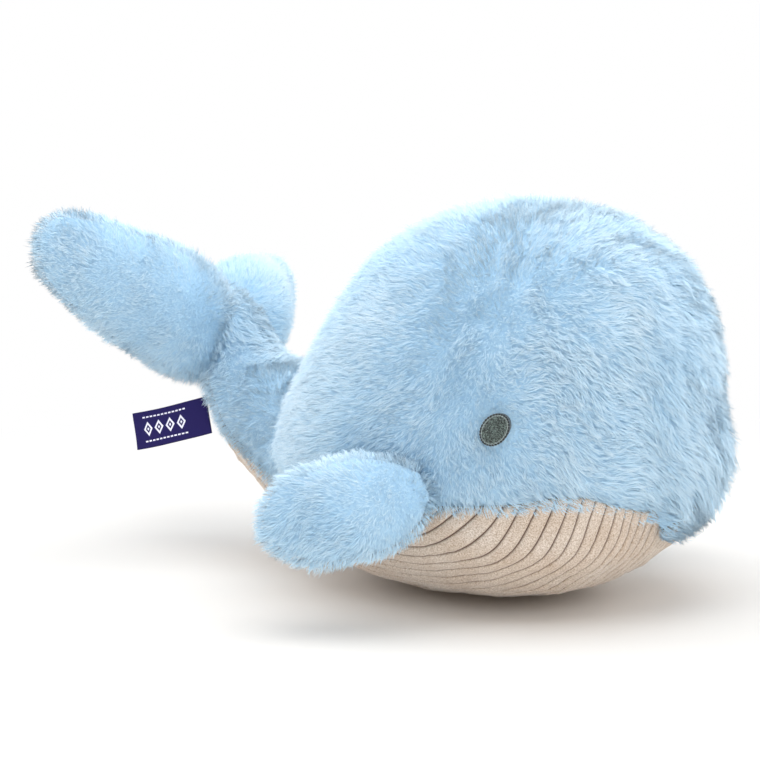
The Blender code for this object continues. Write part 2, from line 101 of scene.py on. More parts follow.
def unit(vectors: Array) -> Array:
    """Gives the vectors a length of one."""
    return vectors / np.maximum(np.linalg.norm(vectors, axis=-1, keepdims=True), 1e-12)


def step(low: float, high: float, value: Array) -> Array:
    """Rises smoothly from 0 at low to 1 at high."""
    share = np.clip((value - low) / (high - low), 0, 1)
    return share * share * (3 - 2 * share)


def window(value: Array, start: float, full: float, fade: float, end: float) -> Array:
    """Rises from 0 at start to 1 at full, and falls from 1 at fade to 0 at end."""
    return step(start, full, value) * (1 - step(fade, end, value))


def bell(value: Array, width: float) -> Array:
    """Falls smoothly on both sides of 0, where it is 1."""
    return np.exp(-((value / width) ** 2))


def along_skin(ways: Array, normals: Array) -> Array:
    """Lays directions flat on the skin, with a length of one."""
    return unit(ways - normals * (ways * normals).sum(1)[:, None])


def run_of(line: Array) -> Array:
    """How far each point of a line is from its start, along it."""
    return np.concatenate([[0], np.cumsum(np.linalg.norm(np.diff(line, axis=0), axis=1))])


def lap(points: Array) -> Array:
    """How far the plush goes on over the CAD's seam with the corduroy, beside the flippers and at the very front.

    Args:
        points: places on the skin.

    Returns:
        A length for each.
    """
    x, y, _ = points.T
    beside = LAP_BESIDE * window(x, -0.03, 0.01, 0.065, 0.095)
    return beside + LAP_AHEAD * step(0.080, 0.095, x) * window(y, -0.010, 0.002, 0.050, 0.065)


class Waves:
    """Smooth seeded noise in space, about one unit strong."""

    def __init__(self, length: float, seed: int, count: int = 16) -> None:
        """Picks the waves.

        Args:
            length: the usual distance from crest to crest, in metres.
            seed: the seed of the random choice.
            count: how many sine waves are added up.
        """
        rng = np.random.default_rng(seed)
        turns = unit(rng.normal(size=(count, 3))) * (TURN / length)
        self.turns = turns * rng.uniform(0.6, 1.5, (count, 1))
        self.phase = rng.uniform(0, TURN, count)
        self.scale = math.sqrt(2 / count)

    def at(self, points: Array) -> Array:
        """The noise at these points."""
        return np.sin(points @ self.turns.T + self.phase).sum(-1) * self.scale


# ---------------------------------------------------------------- meshes


def deselect() -> None:
    """Deselects every object."""
    for obj in bpy.context.selected_objects:
        obj.select_set(False)


def choose(obj: Piece) -> None:
    """Makes an object the only selected one, and the active one.

    Args:
        obj: the object.
    """
    deselect()
    obj.select_set(True)
    bpy.context.view_layer.objects.active = obj


def edit_all(obj: Piece, operator: Callable[..., object], **settings: object) -> None:
    """Runs an edit mode operator on all of a piece.

    Args:
        obj: the piece.
        operator: the operator.
        settings: the operator's settings.
    """
    choose(obj)
    bpy.ops.object.mode_set(mode="EDIT")
    bpy.ops.mesh.select_all(action="SELECT")
    operator(**settings)
    bpy.ops.object.mode_set(mode="OBJECT")


def apply_modifier(obj: Piece, kind: str, **settings: object) -> None:
    """Adds a modifier and applies it.

    Args:
        obj: the piece.
        kind: the modifier's type.
        settings: the modifier's values.
    """
    choose(obj)
    modifier = obj.modifiers.new(kind.title(), kind)
    for name, value in settings.items():
        setattr(modifier, name, value)
    bpy.ops.object.modifier_apply(modifier=modifier.name)


def copy_of(name: str, nodes: Sequence[str]) -> Piece:
    """One new object from copies of CAD nodes' meshes, with the loose triangles merged.

    Args:
        name: the new object's name.
        nodes: the CAD nodes.

    Returns:
        The object, which rides on nothing yet.
    """
    deselect()
    copies = []
    for node in nodes:
        obj = bpy.data.objects.new(f"{node}_copy", frame["nodes"][node].data.copy())
        bpy.context.scene.collection.objects.link(obj)
        obj.select_set(True)
        copies.append(obj)
    bpy.context.view_layer.objects.active = copies[0]
    if len(copies) > 1:
        bpy.ops.object.join()
    obj = copies[0]
    obj.name = obj.data.name = name
    obj.data.materials.clear()
    edit_all(obj, bpy.ops.mesh.remove_doubles, threshold=0.01 * MM)
    return obj


def points_of(obj: Piece) -> Array:
    """Reads the places of an object's points.

    Args:
        obj: the object.

    Returns:
        One row for each point.
    """
    values = np.empty(len(obj.data.vertices) * 3, np.float32)
    obj.data.vertices.foreach_get("co", values)
    return values.reshape(-1, 3).astype(float)


def set_points(obj: Piece, points: Array) -> None:
    """Moves an object's points."""
    obj.data.vertices.foreach_set("co", points.astype(np.float32).ravel())
    obj.data.update()


def mesh_of(obj: Piece) -> tuple[Array, Array]:
    """Reads an object's mesh.

    Args:
        obj: the object.

    Returns:
        Its points, and its faces as triangles of point numbers.
    """
    obj.data.calc_loop_triangles()
    values = np.empty(len(obj.data.loop_triangles) * 3, np.int32)
    obj.data.loop_triangles.foreach_get("vertices", values)
    return points_of(obj), values.reshape(-1, 3)


def spread_out(faces: Array, values: Array, rounds: int, share: Array | float = 0.5) -> Array:
    """Moves values towards the mean of their neighbours.

    Args:
        faces: the mesh's triangles.
        values: one row for each point.
        rounds: how often.
        share: how far each round goes, for all points or for each.

    Returns:
        The spread values.
    """
    a, b = faces.ravel(), np.roll(faces, 1, axis=1).ravel()
    count = np.bincount(a, minlength=len(values)) + np.bincount(b, minlength=len(values))
    count = np.maximum(count, 1)[:, None]
    share = np.reshape(share, (-1, 1))
    for _ in range(rounds):
        total = np.stack([np.bincount(a, v[b], len(v)) + np.bincount(b, v[a], len(v)) for v in values.T], -1)
        values = (1 - share) * values + share * total / count
    return values


def across_faces(points: Array, faces: Array) -> Array:
    """A vector square to each face, twice as long as the face's area."""
    return np.cross(points[faces[:, 1]] - points[faces[:, 0]], points[faces[:, 2]] - points[faces[:, 0]])


def point_normals(points: Array, faces: Array) -> Array:
    """Smooth normals of a triangle mesh.

    Args:
        points: the mesh's points.
        faces: its triangles.

    Returns:
        One normal for each point.
    """
    across = across_faces(points, faces)
    normals = np.zeros_like(points)
    for corner in range(3):
        np.add.at(normals, faces[:, corner], across)
    return unit(normals)


def new_object(name: str, points: Array, faces: Array, uv: Array | None = None, normals: Array | None = None) -> Piece:
    """A mesh object from arrays.

    Args:
        name: the object's name.
        points: one row for each point.
        faces: one row of point numbers for each face, all with as many corners.
        uv: one row for each point, for the map that the colours read.
        normals: one row for each point, where the shading isn't the faces' own.

    Returns:
        The object, shaded smooth.
    """
    mesh = bpy.data.meshes.new(name)
    count, corners = faces.shape
    mesh.vertices.add(len(points))
    mesh.vertices.foreach_set("co", points.astype(np.float32).ravel())
    mesh.loops.add(count * corners)
    mesh.loops.foreach_set("vertex_index", faces.astype(np.int32).ravel())
    mesh.polygons.add(count)
    mesh.polygons.foreach_set("loop_start", np.arange(0, count * corners, corners, dtype=np.int32))
    mesh.polygons.foreach_set("use_smooth", np.ones(count, bool))
    if uv is not None:
        layer = mesh.uv_layers.new(name=UV_NAME)
        layer.data.foreach_set("uv", uv[faces.ravel()].astype(np.float32).ravel())
    mesh.update(calc_edges=True)
    mesh.validate()
    if normals is not None:
        mesh.normals_split_custom_set_from_vertices(normals.tolist())
    obj = bpy.data.objects.new(name, mesh)
    bpy.context.scene.collection.objects.link(obj)
    return obj


def closed_sheet(outer: Array, inner: Array) -> tuple[Array, Array]:
    """Closes two grids of points, an outer and an inner one, to a thin sheet.

    Args:
        outer: columns by rows by three.
        inner: the same for the other side.

    Returns:
        The points, outer ones first, and the four-cornered faces, the outer side's first.
    """
    cols, rows = outer.shape[:2]
    size = cols * rows
    grid = np.arange(size).reshape(cols, rows)
    quads = np.stack([grid[:-1, :-1], grid[1:, :-1], grid[1:, 1:], grid[:-1, 1:]], -1).reshape(-1, 4)
    edge = np.concatenate([grid[:, 0], grid[-1, 1:], grid[-2::-1, -1], grid[0, -2:0:-1]])
    after = np.roll(edge, -1)
    rim = np.stack([edge, after, after + size, edge + size], -1)
    points = np.concatenate([outer.reshape(-1, 3), inner.reshape(-1, 3)])
    return points, np.concatenate([quads, quads[:, ::-1] + size, rim[:, ::-1]])


def point_value(obj: Piece, name: str, values: Array) -> None:
    """Keeps one number at each point, for the materials to read."""
    obj.data.attributes.new(name, "FLOAT", "POINT").data.foreach_set("value", values.astype(np.float32))


def tree_of(*pieces: Piece | str) -> BVHTree:
    """A search tree of faces.

    Args:
        pieces: objects, or names of CAD nodes.

    Returns:
        One tree of them all.
    """
    points, faces, start = [], [], 0
    for piece in pieces:
        own, triangles = mesh_of(frame["nodes"][piece] if isinstance(piece, str) else piece)
        points.append(own)
        faces.append(triangles + start)
        start += len(own)
    return BVHTree.FromPolygons(np.concatenate(points).tolist(), np.concatenate(faces).tolist())


def distances(tree: BVHTree, points: Array) -> Array:
    """How far the points are from the tree's faces."""
    return np.array([tree.find_nearest(point)[3] for point in points.tolist()])


def nearest(nodes: Sequence[str], places: Array) -> Array:
    """Which CAD node each place is nearest to.

    Args:
        nodes: the CAD nodes' names.
        places: the places, of which many may be the same.

    Returns:
        The node's number for each place.
    """
    unique, back = np.unique(places, axis=0, return_inverse=True)
    table = np.stack([distances(tree_of(node), unique) for node in nodes], -1)
    return table.argmin(1)[back.ravel()]


def inside(tree: BVHTree, points: Array, deeper: float) -> Array:
    """Which points lie inside a closed form.

    Args:
        tree: the form's faces.
        points: the points.
        deeper: how far under its surface they have to be.

    Returns:
        True or False for each point.
    """
    found = []
    for point in points.tolist():
        place, normal, _, _ = tree.find_nearest(point)
        found.append((Vector(point) - place).dot(normal) < -deeper)
    return np.array(found)


# ---------------------------------------------------------------- finishes


def linear(colour: str) -> tuple[float, float, float, float]:
    """Turns an sRGB hex colour to linear light."""
    values = [int(colour[i : i + 2], 16) / 255 for i in (1, 3, 5)]
    return (*(v / 12.92 if v <= 0.04045 else ((v + 0.055) / 1.055) ** 2.4 for v in values), 1.0)


def set_stops(band: bpy.types.ColorRamp, stops: Sequence[tuple[float, str]]) -> None:
    """Gives a colour ramp its stops.

    Args:
        band: the ramp.
        stops: the place and the sRGB colour of each stop.
    """
    while len(band.elements) < len(stops):
        band.elements.new(0.5)
    for element, (place, colour) in zip(band.elements, stops):
        element.position, element.color = place, linear(colour)


def add_node(tree: bpy.types.NodeTree, kind: str, inputs: dict | None = None, **settings: object) -> bpy.types.Node:
    """Adds a shader node.

    Args:
        tree: the material's node tree.
        kind: the node's type.
        inputs: for each input's name or number, a value, an output to link, or a node whose first output is linked.
        settings: the node's own settings, and a colour ramp's stops.

    Returns:
        The node.
    """
    node = tree.nodes.new(kind)
    for name, value in settings.items():
        if name == "stops":
            set_stops(node.color_ramp, value)
        else:
            setattr(node, name, value)
    for name, value in (inputs or {}).items():
        if isinstance(value, bpy.types.Node):
            value = value.outputs[0]
        if isinstance(value, bpy.types.NodeSocket):
            tree.links.new(value, node.inputs[name])
        else:
            node.inputs[name].default_value = value
    return node


def blank(name: str) -> tuple[bpy.types.Material, bpy.types.NodeTree]:
    """A material with an empty node tree.

    Args:
        name: its name.

    Returns:
        The material and its tree.
    """
    material = bpy.data.materials.new(name)
    material.use_nodes = True
    material.node_tree.nodes.clear()
    return material, material.node_tree


@dataclass(frozen=True)
class Finish:
    """How a material looks. Each kind gives the inputs of its surface."""

    name: str

    def surface(self, tree: bpy.types.NodeTree) -> dict[str, object]:
        """The inputs of the Principled surface."""
        raise NotImplementedError

    def make(self) -> bpy.types.Material:
        """Makes the material.

        Returns:
            The material.
        """
        material, tree = blank(self.name)
        shader = add_node(tree, "ShaderNodeBsdfPrincipled", self.surface(tree))
        add_node(tree, "ShaderNodeOutputMaterial", {"Surface": shader})
        return material


@dataclass(frozen=True)
class PileFinish(Finish):
    """Brushed polyester plush: fine, soft, slightly lustrous hairs, painted darker towards the backing as shade in the
    depth of the pile.
    """

    name: str = "brushed_polyester_plush"
    # Root to tip: painted shade in the depth of the pile, darkest at the root.
    root: str = "#BADDF6"
    middle: str = "#D1EBFA"
    tip: str = "#E6F5FD"
    middle_at: float = 0.45
    # Blue to pale tone: it differs at random, and the skins' upward faces are given a paler tone as painted light from
    # above.
    blue_tone: str = "#DAF0FD"
    pale_tone: str = "#FFFFFF"
    roughness: float = 0.62
    specular: float = 0.25
    sheen: float = 0.12
    sheen_roughness: float = 0.5

    def surface(self, tree: bpy.types.NodeTree) -> dict[str, object]:
        """The map's V runs along a hair, and its U is the hair's tone. Towards the root the colour is painted darker,
        as shade in the pile, and a high tone is paler, which on the upward faces is painted light from above.

        Args:
            tree: the material's node tree.

        Returns:
            The surface's inputs.
        """
        place = add_node(tree, "ShaderNodeSeparateXYZ", {0: add_node(tree, "ShaderNodeUVMap", uv_map=UV_NAME)})
        stops = ((0.0, self.root), (self.middle_at, self.middle), (1.0, self.tip))
        along = add_node(tree, "ShaderNodeValToRGB", {0: place.outputs["Y"]}, stops=stops)
        stops = ((0.0, self.blue_tone), (1.0, self.pale_tone))
        tone = add_node(tree, "ShaderNodeValToRGB", {0: place.outputs["X"]}, stops=stops)
        colour = add_node(tree, "ShaderNodeMix", {0: 1.0, 6: along, 7: tone}, data_type="RGBA", blend_type="MULTIPLY")
        return {
            "Base Color": colour.outputs[2],
            "Roughness": self.roughness,
            "Specular IOR Level": self.specular,
            "Sheen Weight": self.sheen,
            "Sheen Roughness": self.sheen_roughness,
        }


@dataclass(frozen=True)
class BackingFinish(Finish):
    """The plush's knitted backing, which only shows deep between the hairs: matt and fuzzy, and darker than the hairs'
    tips as painted shade of the underfur that it stands for.
    """

    name: str = "knitted_plush_backing"
    # Darker than the hairs' tips: painted shade of the underfur that the backing stands for.
    colour: str = "#BEE0F5"
    # Painted shade in the hollows between the stitches.
    deep: str = "#AED5EF"
    stitch: float = 1.6 * MM
    relief: float = 0.3 * MM
    roughness: float = 0.9
    sheen: float = 0.3

    def surface(self, tree: bpy.types.NodeTree) -> dict[str, object]:
        """A knit of cells, each the size of a stitch, with painted shade in the hollows between them.

        Args:
            tree: the material's node tree.

        Returns:
            The surface's inputs.
        """
        place = add_node(tree, "ShaderNodeTexCoord").outputs["Object"]
        knit = add_node(tree, "ShaderNodeTexVoronoi", {"Vector": place, "Scale": 1 / self.stitch})
        # Each cell is lighter at its raised middle and darker at its sunken rim: painted shade.
        colour = add_node(tree, "ShaderNodeValToRGB", {0: knit}, stops=((0.1, self.colour), (0.8, self.deep)))
        bump = add_node(tree, "ShaderNodeBump", {"Strength": 0.5, "Distance": self.relief, "Height": knit}, invert=True)
        return {"Base Color": colour, "Roughness": self.roughness, "Sheen Weight": self.sheen, "Normal": bump}


@dataclass(frozen=True)
class CordFinish(Finish):
    """Cut-pile cotton corduroy: wide flat velour wales with a fine nap, and narrow grooves between them, painted brown
    as shade in the hollows.
    """

    name: str = "cotton_corduroy"
    wale: str = "#DED5CA"
    shade: str = "#AC9B89"
    # Painted shade: the dark brown of the grooves and of the wales' lower sides.
    groove_shade: str = "#5A4032"
    cloud: str = "#F4EEE8"
    # A real nap is about 0.1 mm wide, too fine for the render, so it is drawn coarser.
    nap: float = 0.6 * MM
    # Metres, so the clouds are about 18 mm wide.
    cloud_size: float = 1 / 55
    relief: float = 0.25 * MM
    roughness: float = 0.85
    specular: float = 0.2
    sheen: float = 0.35
    sheen_roughness: float = 0.4

    def surface(self, tree: bpy.types.NodeTree) -> dict[str, object]:
        """The attribute wale is 0 at the bottom of the grooves and 1 on a crest.

        Args:
            tree: the material's node tree.

        Returns:
            The surface's inputs.
        """
        place = add_node(tree, "ShaderNodeTexCoord").outputs["Object"]
        height = add_node(tree, "ShaderNodeAttribute", attribute_name="wale").outputs["Fac"]
        settings = {"Vector": place, "Scale": 1 / self.nap, "Detail": 3.0, "Roughness": 0.7}
        nap = add_node(tree, "ShaderNodeTexNoise", settings)
        patch = add_node(tree, "ShaderNodeTexNoise", {"Vector": place, "Scale": 1 / self.cloud_size, "Detail": 2.0})
        grain = add_node(tree, "ShaderNodeValToRGB", {0: nap}, stops=((0.38, self.shade), (0.60, self.wale)))
        cloud = add_node(tree, "ShaderNodeValToRGB", {0: patch}, stops=((0.3, self.cloud), (0.7, "#FFFFFF")))
        top = add_node(tree, "ShaderNodeMix", {0: 1.0, 6: grain, 7: cloud}, data_type="RGBA", blend_type="MULTIPLY")
        # The grooves and the lower sides of each wale are painted dark brown: painted shade in the hollows between the
        # wales.
        edge = add_node(tree, "ShaderNodeMapRange", {"Value": height, "From Min": 0.05, "From Max": 0.75})
        mixed = {0: edge, 6: linear(self.groove_shade), 7: top.outputs[2]}
        colour = add_node(tree, "ShaderNodeMix", mixed, data_type="RGBA")
        bump = add_node(tree, "ShaderNodeBump", {"Strength": 0.6, "Distance": self.relief, "Height": nap})
        return {
            "Base Color": colour.outputs[2],
            "Roughness": self.roughness,
            "Specular IOR Level": self.specular,
            "Sheen Weight": self.sheen,
            "Sheen Roughness": self.sheen_roughness,
            "Normal": bump,
        }


@dataclass(frozen=True)
class ThreadFinish(Finish):
    """Rayon embroidery thread: smooth, with a silky gloss along each stitch."""

    colour: str
    light: str
    fleck: float = 0.6 * MM
    roughness: float = 0.38
    sheen: float = 0.15

    def surface(self, tree: bpy.types.NodeTree) -> dict[str, object]:
        """Flecks of two close colours.

        Args:
            tree: the material's node tree.

        Returns:
            The surface's inputs.
        """
        place = add_node(tree, "ShaderNodeTexCoord").outputs["Object"]
        fleck = add_node(tree, "ShaderNodeTexNoise", {"Vector": place, "Scale": 1 / self.fleck, "Detail": 2.0})
        colour = add_node(tree, "ShaderNodeValToRGB", {0: fleck}, stops=((0.42, self.colour), (0.60, self.light)))
        return {"Base Color": colour, "Roughness": self.roughness, "Sheen Weight": self.sheen}


@dataclass(frozen=True)
class TapeFinish(Finish):
    """Damask-woven polyester tape: a tight navy ground with a slight gloss and a woven white ornament."""

    name: str = "woven_navy_tape"
    ground: str = "#1B1545"
    light: str = "#2A2460"
    figure: str = "#E9E8F5"
    # Real threads are about 0.1 mm apart, too fine for the render, so they are drawn coarser.
    thread: float = 0.45 * MM
    relief: float = 0.08 * MM
    roughness: float = 0.7
    specular: float = 0.12
    # The tape's length and height, which the map's U and V stand for.
    size: tuple[float, float] = (1.0, 1.0)

    def surface(self, tree: bpy.types.NodeTree) -> dict[str, object]:
        """A plain weave, with the ornament over it.

        Args:
            tree: the material's node tree.

        Returns:
            The surface's inputs.
        """
        place = add_node(tree, "ShaderNodeSeparateXYZ", {0: add_node(tree, "ShaderNodeUVMap", uv_map=UV_NAME)})
        waves = []
        for axis, length in zip("XY", self.size):
            spot = add_node(tree, "ShaderNodeMath", {0: place.outputs[axis], 1: length}, operation="MULTIPLY")
            turns = add_node(tree, "ShaderNodeMath", {0: spot, 1: TURN / self.thread}, operation="MULTIPLY")
            waves.append(add_node(tree, "ShaderNodeMath", {0: turns}, operation="SINE"))
        weave = add_node(tree, "ShaderNodeMath", {0: waves[0], 1: waves[1]}, operation="MULTIPLY")
        level = add_node(tree, "ShaderNodeMapRange", {"Value": weave, "From Min": -1.0})
        ground = add_node(tree, "ShaderNodeValToRGB", {0: level}, stops=((0.2, self.ground), (0.8, self.light)))
        mixed = {0: self.ornament(tree), 6: ground, 7: linear(self.figure)}
        colour = add_node(tree, "ShaderNodeMix", mixed, data_type="RGBA").outputs[2]
        bump = add_node(tree, "ShaderNodeBump", {"Strength": 0.4, "Distance": self.relief, "Height": weave})
        return {"Base Color": colour, "Roughness": self.roughness, "Specular IOR Level": self.specular, "Normal": bump}

    def ornament(self, tree: bpy.types.NodeTree) -> bpy.types.NodeSocket:
        """A plain woven ornament: a row of hollow diamonds with a dot in each, between two dashed lines.

        Args:
            tree: the material's node tree.

        Returns:
            1 where the white thread shows, and 0 elsewhere.
        """
        found = {
            axis: add_node(tree, "ShaderNodeAttribute", attribute_name=f"tape_{axis}").outputs["Fac"]
            for axis in ("along", "across")
        }
        # Each row is a result, its operation and what it reads, in millimetres along and across the tape.
        for name, operation, first, second in (
            ("off", "ABSOLUTE", "across", 0.0),
            ("in_cell", "MODULO", "along", 6.2),
            ("from_middle", "SUBTRACT", "in_cell", 3.1),
            ("cell", "ABSOLUTE", "from_middle", 0.0),
            ("wide", "DIVIDE", "cell", 2.5),
            ("high", "DIVIDE", "off", 3.9),
            ("far", "ADD", "wide", "high"),
            ("in_diamond", "LESS_THAN", "far", 1.0),
            ("out_of_hole", "GREATER_THAN", "far", 0.58),
            ("diamond", "MULTIPLY", "in_diamond", "out_of_hole"),
            ("dot", "LESS_THAN", "far", 0.24),
            ("shape", "MAXIMUM", "diamond", "dot"),
            ("off_line", "SUBTRACT", "off", 6.4),
            ("from_line", "ABSOLUTE", "off_line", 0.0),
            ("on_line", "LESS_THAN", "from_line", 0.4),
            ("in_dash", "MODULO", "along", 2.07),
            ("on_dash", "LESS_THAN", "in_dash", 1.4),
            ("dash", "MULTIPLY", "on_line", "on_dash"),
            ("past_seam", "GREATER_THAN", "along", 6.2),
            ("before_fold", "LESS_THAN", "along", 31.0),
            ("room", "MULTIPLY", "past_seam", "before_fold"),
            ("figure", "MAXIMUM", "shape", "dash"),
            ("all", "MULTIPLY", "figure", "room"),
        ):
            inputs = {0: found[first], 1: found.get(second, second)}
            found[name] = add_node(tree, "ShaderNodeMath", inputs, operation=operation).outputs[0]
        return found["all"]


# ---------------------------------------------------------------- stuffed skins


@dataclass
class LimbRoot:
    """Where a fluke or flipper is sewn on, and how its stuffed root goes on into its neighbour."""

    body: Body
    parent: Body
    motion: str
    faces: tuple[str, str]
    extra: float
    length: float
    thicker: float
    wider: float = 1.0
    sink: float = 0.0
    drop: float = 0.0
    shift: Triple = (0.0, 0.0, 0.0)
    rounding: float = 32 * MM
    blunt: float = 0.12
    bend_before: float = 8 * MM
    bend_after: float = 16 * MM
    origin: Array | None = None
    axes: Array | None = None

    @property
    def panels(self) -> tuple[str, ...]:
        """The names of its two CAD panels."""
        return tuple(f"{self.body.value}_{face}_panel" for face in self.faces)

    def find(self) -> None:
        """Reads the joint: the limb's way out, its hinge line, and its thickness's way."""
        joint = next(j for j in frame["joints"] if j["name"] == f"{self.body.value}_{self.motion}")
        self.origin = np.array(joint["pos_m"], float)
        hinge = unit(np.array(joint["axis"], float))
        middle = points_of(frame["nodes"][f"{self.body.value}_filling"]).mean(0) - self.origin
        out = unit(middle - hinge * (middle @ hinge))
        self.axes = np.stack([out, hinge, np.cross(out, hinge)])

    def past_joint(self, points: Array) -> Array:
        """How far points are out from the joint."""
        return (points - self.origin) @ self.axes[0]

    def bend(self, obj: Piece) -> None:
        """Bakes a piece's transform into its mesh.

        Args:
            obj: the piece.
        """
        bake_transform(obj)


@dataclass
class StuffedSkin:
    """A skin of knitted backing round its filling, blown up by cloth simulation from the CAD filling."""

    name: str
    nodes: tuple[str, ...]
    fill: float
    voxel: float = 2.5 * MM
    start_inside: float = 0.5 * MM
    cap: float = 1.2 * MM
    smooth_rounds: int = 4
    neck: tuple[float, float] | None = None
    obj: Piece | None = None
    before: Array | None = None

    def start(self) -> None:
        """Makes the slightly smaller closed form that the simulation blows up."""
        self.obj = copy_of(self.name, self.nodes)
        apply_modifier(self.obj, "REMESH", mode="VOXEL", voxel_size=self.voxel, use_smooth_shade=True)
        apply_modifier(self.obj, "SMOOTH", factor=0.5, iterations=self.smooth_rounds)
        points, faces = mesh_of(self.obj)
        if self.neck is not None:
            middle, width = self.neck
            points = spread_out(faces, points, 40, 0.5 * bell(points[:, 0] - middle, width))
        points -= point_normals(points, faces) * self.start_inside
        set_points(self.obj, points)
        self.before = points

    def add_cloth(self, pressure: float) -> None:
        """Gives the form the cloth of a firmly stuffed skin.

        Args:
            pressure: how hard the filling pushes.
        """
        choose(self.obj)
        cloth = self.obj.modifiers.new("Cloth", "CLOTH")
        for name, value in {
            "use_pressure": True,
            "uniform_pressure_force": pressure,
            "quality": 5,
            "mass": 0.25,
            "tension_stiffness": 18,
            "compression_stiffness": 18,
            "bending_stiffness": 0.6,
        }.items():
            setattr(cloth.settings, name, value)
        cloth.settings.effector_weights.gravity = 0
        cloth.collision_settings.use_self_collision = False

    def settle(self, simulated: bool) -> None:
        """Applies the cloth, caps how far each point went, and rounds the skin.

        Args:
            simulated: whether the cloth was run.
        """
        choose(self.obj)
        for modifier in list(self.obj.modifiers):
            bpy.ops.object.modifier_apply(modifier=modifier.name)
        points, faces = mesh_of(self.obj)
        moved = points - self.before if simulated else point_normals(points, faces) * self.cap
        length = np.linalg.norm(moved, axis=1, keepdims=True)
        set_points(self.obj, self.before + moved * np.minimum(1, self.cap / np.maximum(length, 1e-9)))
        apply_modifier(self.obj, "SMOOTH", factor=0.5, iterations=3)
        apply_modifier(self.obj, "SUBSURF", levels=1, render_levels=1)
        choose(self.obj)
        bpy.ops.object.shade_smooth()

    def grow_root(self, root: LimbRoot) -> None:
        """Bakes a piece's transform into its mesh.

        Args:
            root: how far it goes on, and which way.
        """
        local = (points_of(self.obj) - root.origin) @ root.axes.T
        share = np.clip(1 - local[:, 0] / root.length, 0, 1)
        local[:, 0] -= root.extra * share
        local[:, 1] += root.drop * share
        local[:, 1] *= 1 + (root.wider - 1) * share
        local[:, 2] *= 1 + (root.thicker - 1) * share**1.3
        past_end = local[:, 0] - local[:, 0].min()
        end = np.sqrt(np.clip(1 - (1 - np.clip(past_end / root.rounding, 0, 1)) ** 2, root.blunt, 1))
        heart = np.median(local[past_end < root.rounding], axis=0)
        local[:, 1] = heart[1] + (local[:, 1] - heart[1]) * end
        local[:, 2] = heart[2] + (local[:, 2] - heart[2]) * end + root.sink * share**2
        set_points(self.obj, local @ root.axes + root.origin + root.shift)

    def raise_under_pile(self, rise: float, outside: BVHTree, cord: BVHTree | None) -> None:
        """Lifts the skin where pile grows, because the thick underfur hides what is deeper.

        Args:
            rise: how far.
            outside: the faces of the CAD panels with pile.
            cord: the faces of the corduroy panels, where the skin stays.
        """
        points, faces = mesh_of(self.obj)
        share = np.ones(len(points))
        if cord is not None:
            share = step(0.0, 7 * MM, distances(cord, points) - distances(outside, points) + lap(points))
        set_points(self.obj, points + point_normals(points, faces) * (rise * share)[:, None])

    def dress(self, material: bpy.types.Material) -> None:
        """Args:
            material: the knitted backing.
        """
        self.obj.data.materials.append(material)
        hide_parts(*self.nodes)


def blow_up(skins: Sequence[StuffedSkin], frames: int = 20, pressure: float = 4.0) -> None:
    """Runs the cloth simulation of all the skins at once.

    Args:
        skins: the skins, before their start.
        frames: how many frames are run.
        pressure: how hard the filling pushes.
    """
    for skin in skins:
        skin.start()
    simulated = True
    if simulated:
        for skin in skins:
            skin.add_cloth(pressure)
        for number in range(1, frames + 1):
            bpy.context.scene.frame_set(number)
    for skin in skins:
        skin.settle(simulated)
        log.info("skin %s: %d points", skin.name, len(skin.obj.data.vertices))
    if simulated:
        bpy.context.scene.frame_set(1)


# ---------------------------------------------------------------- pile


@dataclass
class Ground:
    """A skin's surface with what the pile needs to know at each point, and each face's share of pile."""

    points: Array
    faces: Array
    normals: Array
    height: Array
    nap: Array
    tone: Array
    share: Array

    @classmethod
    def of(cls, skin: Piece, outside: BVHTree, depth: float, nap: Callable[[Array, Array], Array]) -> "Ground":
        """Reads a skin, and measures how deep the pile is over it.

        Args:
            skin: the stuffed skin.
            outside: the faces of the CAD panels that the pile fills.
            depth: the pile's usual depth.
            nap: gives each point's direction, as long as the hair leans there, from 0 to 1.

        Returns:
            The ground, with every face taking pile.
        """
        points, faces = mesh_of(skin)
        normals = point_normals(points, faces)
        reach = depth * 2
        height = np.full(len(points), depth)
        for number, (point, normal) in enumerate(zip((points + normals * reach).tolist(), normals)):
            hit = outside.ray_cast(point, (-normal).tolist(), reach)
            if hit[0] is not None:
                height[number] = reach - hit[3]
        height = spread_out(faces, np.clip(height, 0.75 * depth, 1.3 * depth)[:, None], 8)[:, 0]
        lie = spread_out(faces, nap(points, normals), 6)
        return cls(points, faces, normals, height, lie, np.full(len(points), 0.5), np.ones(len(faces)))

    def pull(self, inwards: Array) -> None:
        """Draws the skin in by this much at each point, with its pile."""
        self.points = self.points - self.normals * inwards[:, None]

    def middles(self) -> Array:
        """The middle of each face."""
        return self.points[self.faces].mean(1)

    def sown(self, density: float, rng: np.random.Generator) -> dict[str, Array]:
        """Scatters roots over the ground.

        Args:
            density: roots for each square metre.
            rng: the random numbers.

        Returns:
            Each root's place, normal, height, nap and tone.
        """
        area = np.linalg.norm(across_faces(self.points, self.faces), axis=1) / 2 * self.share
        total = np.cumsum(area)
        count = int(total[-1] * density)
        pick = np.searchsorted(total, (np.arange(count) + rng.random(count)) / count * total[-1])
        chosen = self.faces[pick.clip(0, len(area) - 1)]
        u, v = rng.random((2, count))
        turn = u + v > 1
        u, v = np.where(turn, 1 - u, u), np.where(turn, 1 - v, v)
        weight = np.stack([1 - u - v, u, v], -1)
        roots = {}
        for name in ("points", "normals", "height", "nap", "tone"):
            values = getattr(self, name)
            roots[name] = (values[chosen] * weight.reshape(weight.shape + (1,) * (values.ndim - 1))).sum(1)
        roots["normals"] = unit(roots["normals"])
        return roots


